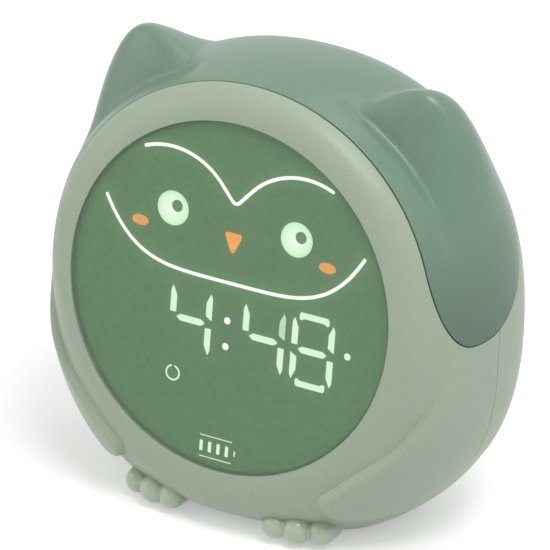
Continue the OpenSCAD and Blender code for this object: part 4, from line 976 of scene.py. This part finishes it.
# ---- Small pieces: the CAD nodes with softer edges -------------------------------------------
def cross_recesses(r, top):
    """Tapered crosses at four places round the middle of the panel, for screw heads."""
    def cross(arm, half, w, x, z):
        quarter = [(arm, half), (arm, -half), (half, -half)]
        outline = [(i * c + j * s, j * c - i * s) for c, s in ((1, 0), (0, 1), (-1, 0), (0, -1))
                   for i, j in quarter]
        u, v = np.array(outline).T
        cos_45 = 0.7071
        return place(x + (u - v) * cos_45, np.full(12, w), z + (u + v) * cos_45)
    verts, faces = [], []
    for a in (0, 90, 180, 270):
        base = len(verts) * 12
        x, z = r * cosd(a), r * sind(a)
        verts += [cross(1.35, 0.34, top + 0.3, x, z), cross(0.7, 0.2, top - 0.85, x, z)]
        faces += [tuple(base + v for v in f) for f in grid_faces(2, 12, True)]
        faces += [tuple(range(base, base + 12)), tuple(range(base + 12, base + 24))[::-1]]
    return np.concatenate(verts), faces


def carve(obj, verts_mm, faces):
    """Takes closed shapes out of a piece, and gives it the mesh that is left."""
    mesh = bpy.data.meshes.new("recess")
    mesh.from_pydata([tuple(v) for v in verts_mm * MM], [], faces)
    bm = bmesh.new()
    bm.from_mesh(mesh)
    bmesh.ops.recalc_face_normals(bm, faces=bm.faces)
    bm.to_mesh(mesh)
    bm.free()
    tool = add_object("recess", mesh)
    less = obj.modifiers.new("recess", "BOOLEAN")
    less.operation, less.solver, less.object = "DIFFERENCE", "EXACT", tool
    left = evaluated(obj)
    obj.modifiers.clear()
    obj.data = left
    bpy.data.objects.remove(tool)


def bevelled(node, material, width=0.2, segments=2, body="case", cut=None):
    """A CAD node with small rounded edges: a welded copy of its mesh with a bevel."""
    bm = bmesh.new()
    bm.from_mesh(frame["nodes"][node].data)
    bmesh.ops.remove_doubles(bm, verts=bm.verts, dist=1e-6)
    bmesh.ops.dissolve_limit(bm, angle_limit=math.radians(0.5), verts=bm.verts, edges=bm.edges)
    sharp = [e for e in bm.edges if len(e.link_faces) == 2 and e.calc_face_angle(0) > math.radians(35)]
    bmesh.ops.bevel(bm, geom=sharp, offset=width * MM, segments=segments, profile=0.5, affect="EDGES",
                    clamp_overlap=True)
    mesh = bpy.data.meshes.new(node + "_soft")
    bm.to_mesh(mesh)
    bm.free()
    obj = add_object(node + "_soft", mesh)
    if cut:
        carve(obj, *cut)
    obj.data.polygons.foreach_set("use_smooth", [True] * len(obj.data.polygons))
    obj.data.materials.clear()
    obj.data.materials.append(material)
    sharpen(obj, 30)
    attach(obj, body)
    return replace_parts(obj, node)


SCREW_FACE = PANEL_FACE - 0.2
bevelled("control_panel", PANEL, 0.22)
bevelled("panel_screws", STEEL, 0.25, 3, cut=cross_recesses(LUG_R, SCREW_FACE))
for button in ("set_button", "alarm_button", "up_button", "down_button", "light_button"):
    bevelled(button, BUTTON, 0.3, 3, body=button)
bevelled("alarm_switch", BUTTON, 0.15, body="alarm_switch")
bevelled("speaker_grille", DARK, 0.1)
bevelled("foot_pads", RUBBER, 0.15)
bevelled("rear_pad", RUBBER, 0.25)

# The CAD nodes that stay get the finish of their slot
FINISH = {"white_plastic": WHITE, "glow": WHITE, "orange": ORANGE_LIGHT, "board": BOARD, "led": LED,
          "dark_plastic": DARK, "steel": STEEL, "cell": CELL, "paper": PAPER, "rubber": RUBBER,
          "housing": HOUSING, "hood": HOOD, "lens": LENS, "mask": FILM_PRINT, "panel": PANEL}
slot_of = {row["node"]: row["material_slot"] for row in frame["record"]["subparts"]}
for node, obj in frame["nodes"].items():
    obj.data.materials.clear()
    obj.data.materials.append(FINISH[slot_of[node]])

# ---- Camera, light, floor --------------------------------------------------------------------
bpy.context.scene.view_settings.view_transform = "Standard"

CAMERA_AZ, CAMERA_EL = math.radians(30.331), math.radians(26.809)
EYE_BACK, EYE_RIGHT, EYE_UP = 1.35598, 0.013173, 0.00683  # metres from the middle of the lens
FOCAL_PX, PICTURE_PX = 5000, 550  # focal length and width of the picture, in its own pixels
SENSOR = 36
WORLD_LIGHT, WORLD_SEEN = 0.42, 1.0  # as a light, and to the rays that show the stage
FLOOR_PAINT, FLOOR_SEEN, FLOOR_REACH = 0.9, 0.36, 3

right = Vector((math.cos(CAMERA_AZ), math.sin(CAMERA_AZ), 0))
back = Vector((math.sin(CAMERA_AZ) * math.cos(CAMERA_EL), -math.cos(CAMERA_AZ) * math.cos(CAMERA_EL),
               math.sin(CAMERA_EL)))
up = back.cross(right)
eye = EYE_BACK * back + EYE_RIGHT * right + EYE_UP * up + Vector((0, FACE_Y * MM, LENS_Z * MM))
camera = add_object("camera", bpy.data.cameras.new("camera"))
camera.matrix_world = Matrix((
    (right.x, up.x, back.x, eye.x), (right.y, up.y, back.y, eye.y),
    (right.z, up.z, back.z, eye.z), (0, 0, 0, 1)))
camera.data.sensor_width = SENSOR
camera.data.lens = SENSOR * FOCAL_PX / PICTURE_PX
camera.data.clip_start, camera.data.clip_end = 0.05, 20
bpy.context.scene.camera = camera


def seen(tree):
    """1 for the rays that show the stage itself: camera, glossy and transmission rays."""
    path = tree.nodes.new("ShaderNodeLightPath")
    socket = path.outputs["Is Camera Ray"]
    for name in ("Is Glossy Ray", "Is Transmission Ray"):
        most = tree.nodes.new("ShaderNodeMath")
        most.operation = "MAXIMUM"
        tree.links.new(socket, most.inputs[0])
        tree.links.new(path.outputs[name], most.inputs[1])
        socket = most.outputs[0]
    return socket


def studio():
    """An even white world, which is brighter to the camera than it is as a light."""
    world = bpy.data.worlds.new("studio")
    bpy.context.scene.world = world
    world.use_nodes = True
    tree = world.node_tree
    light, white = tree.nodes["Background"], tree.nodes.new("ShaderNodeBackground")
    for node, strength in ((light, WORLD_LIGHT), (white, WORLD_SEEN)):
        node.inputs["Color"].default_value = (1, 1, 1, 1)
        node.inputs["Strength"].default_value = strength
    pick = tree.nodes.new("ShaderNodeMixShader")
    tree.links.new(seen(tree), pick.inputs["Fac"])
    tree.links.new(light.outputs["Background"], pick.inputs[1])
    tree.links.new(white.outputs["Background"], pick.inputs[2])
    tree.links.new(pick.outputs["Shader"], tree.nodes["World Output"].inputs["Surface"])


def lamp(name, at, look_z, size, power, colour=(1, 1, 1)):
    """A square lamp that faces a height over the middle of the clock."""
    data = bpy.data.lights.new(name, "AREA")
    data.color = colour
    data.shape = "RECTANGLE"
    data.size = data.size_y = size
    data.energy = power
    obj = add_object(name, data)
    obj.location = at
    obj.rotation_mode = "QUATERNION"
    obj.rotation_quaternion = (Vector((0, 0, look_z)) - Vector(at)).to_track_quat("-Z", "Y")


def white_floor():
    """Keeps the clock's soft shadow, and is as white as the world to the camera."""
    mesh = bpy.data.meshes.new("floor")
    corners = [(x * FLOOR_REACH, y * FLOOR_REACH, 0) for x, y in ((-1, -1), (1, -1), (1, 1), (-1, 1))]
    mesh.from_pydata(corners, [], [(0, 1, 2, 3)])
    floor = add_object("floor", mesh)
    m = Nodes("floor_white")
    lift = m.add("ShaderNodeMath", operation="MULTIPLY")
    lift.inputs[1].default_value = FLOOR_SEEN
    m.link(seen(m.tree), lift.inputs[0])
    m.feed(Base_Color=(FLOOR_PAINT, FLOOR_PAINT, FLOOR_PAINT, 1), Roughness=0.9,
           Emission_Color=(1, 1, 1, 1), Emission_Strength=lift.outputs[0])
    mesh.materials.append(m.mat)


studio()
lamp("key", (0.42, -0.25, 1.1), 0.07, 0.5, 5.6)
lamp("back", (0.1, 0.4, 1.1), 0.07, 0.6, 1.3)
lamp("fill", (-0.95, -0.6, 0.5), 0.06, 0.8, 2.3, (1, 1, 0.9))
lamp("right", (0.85, -0.1, 0.8), 0.07, 0.4, 0.7)
white_floor()
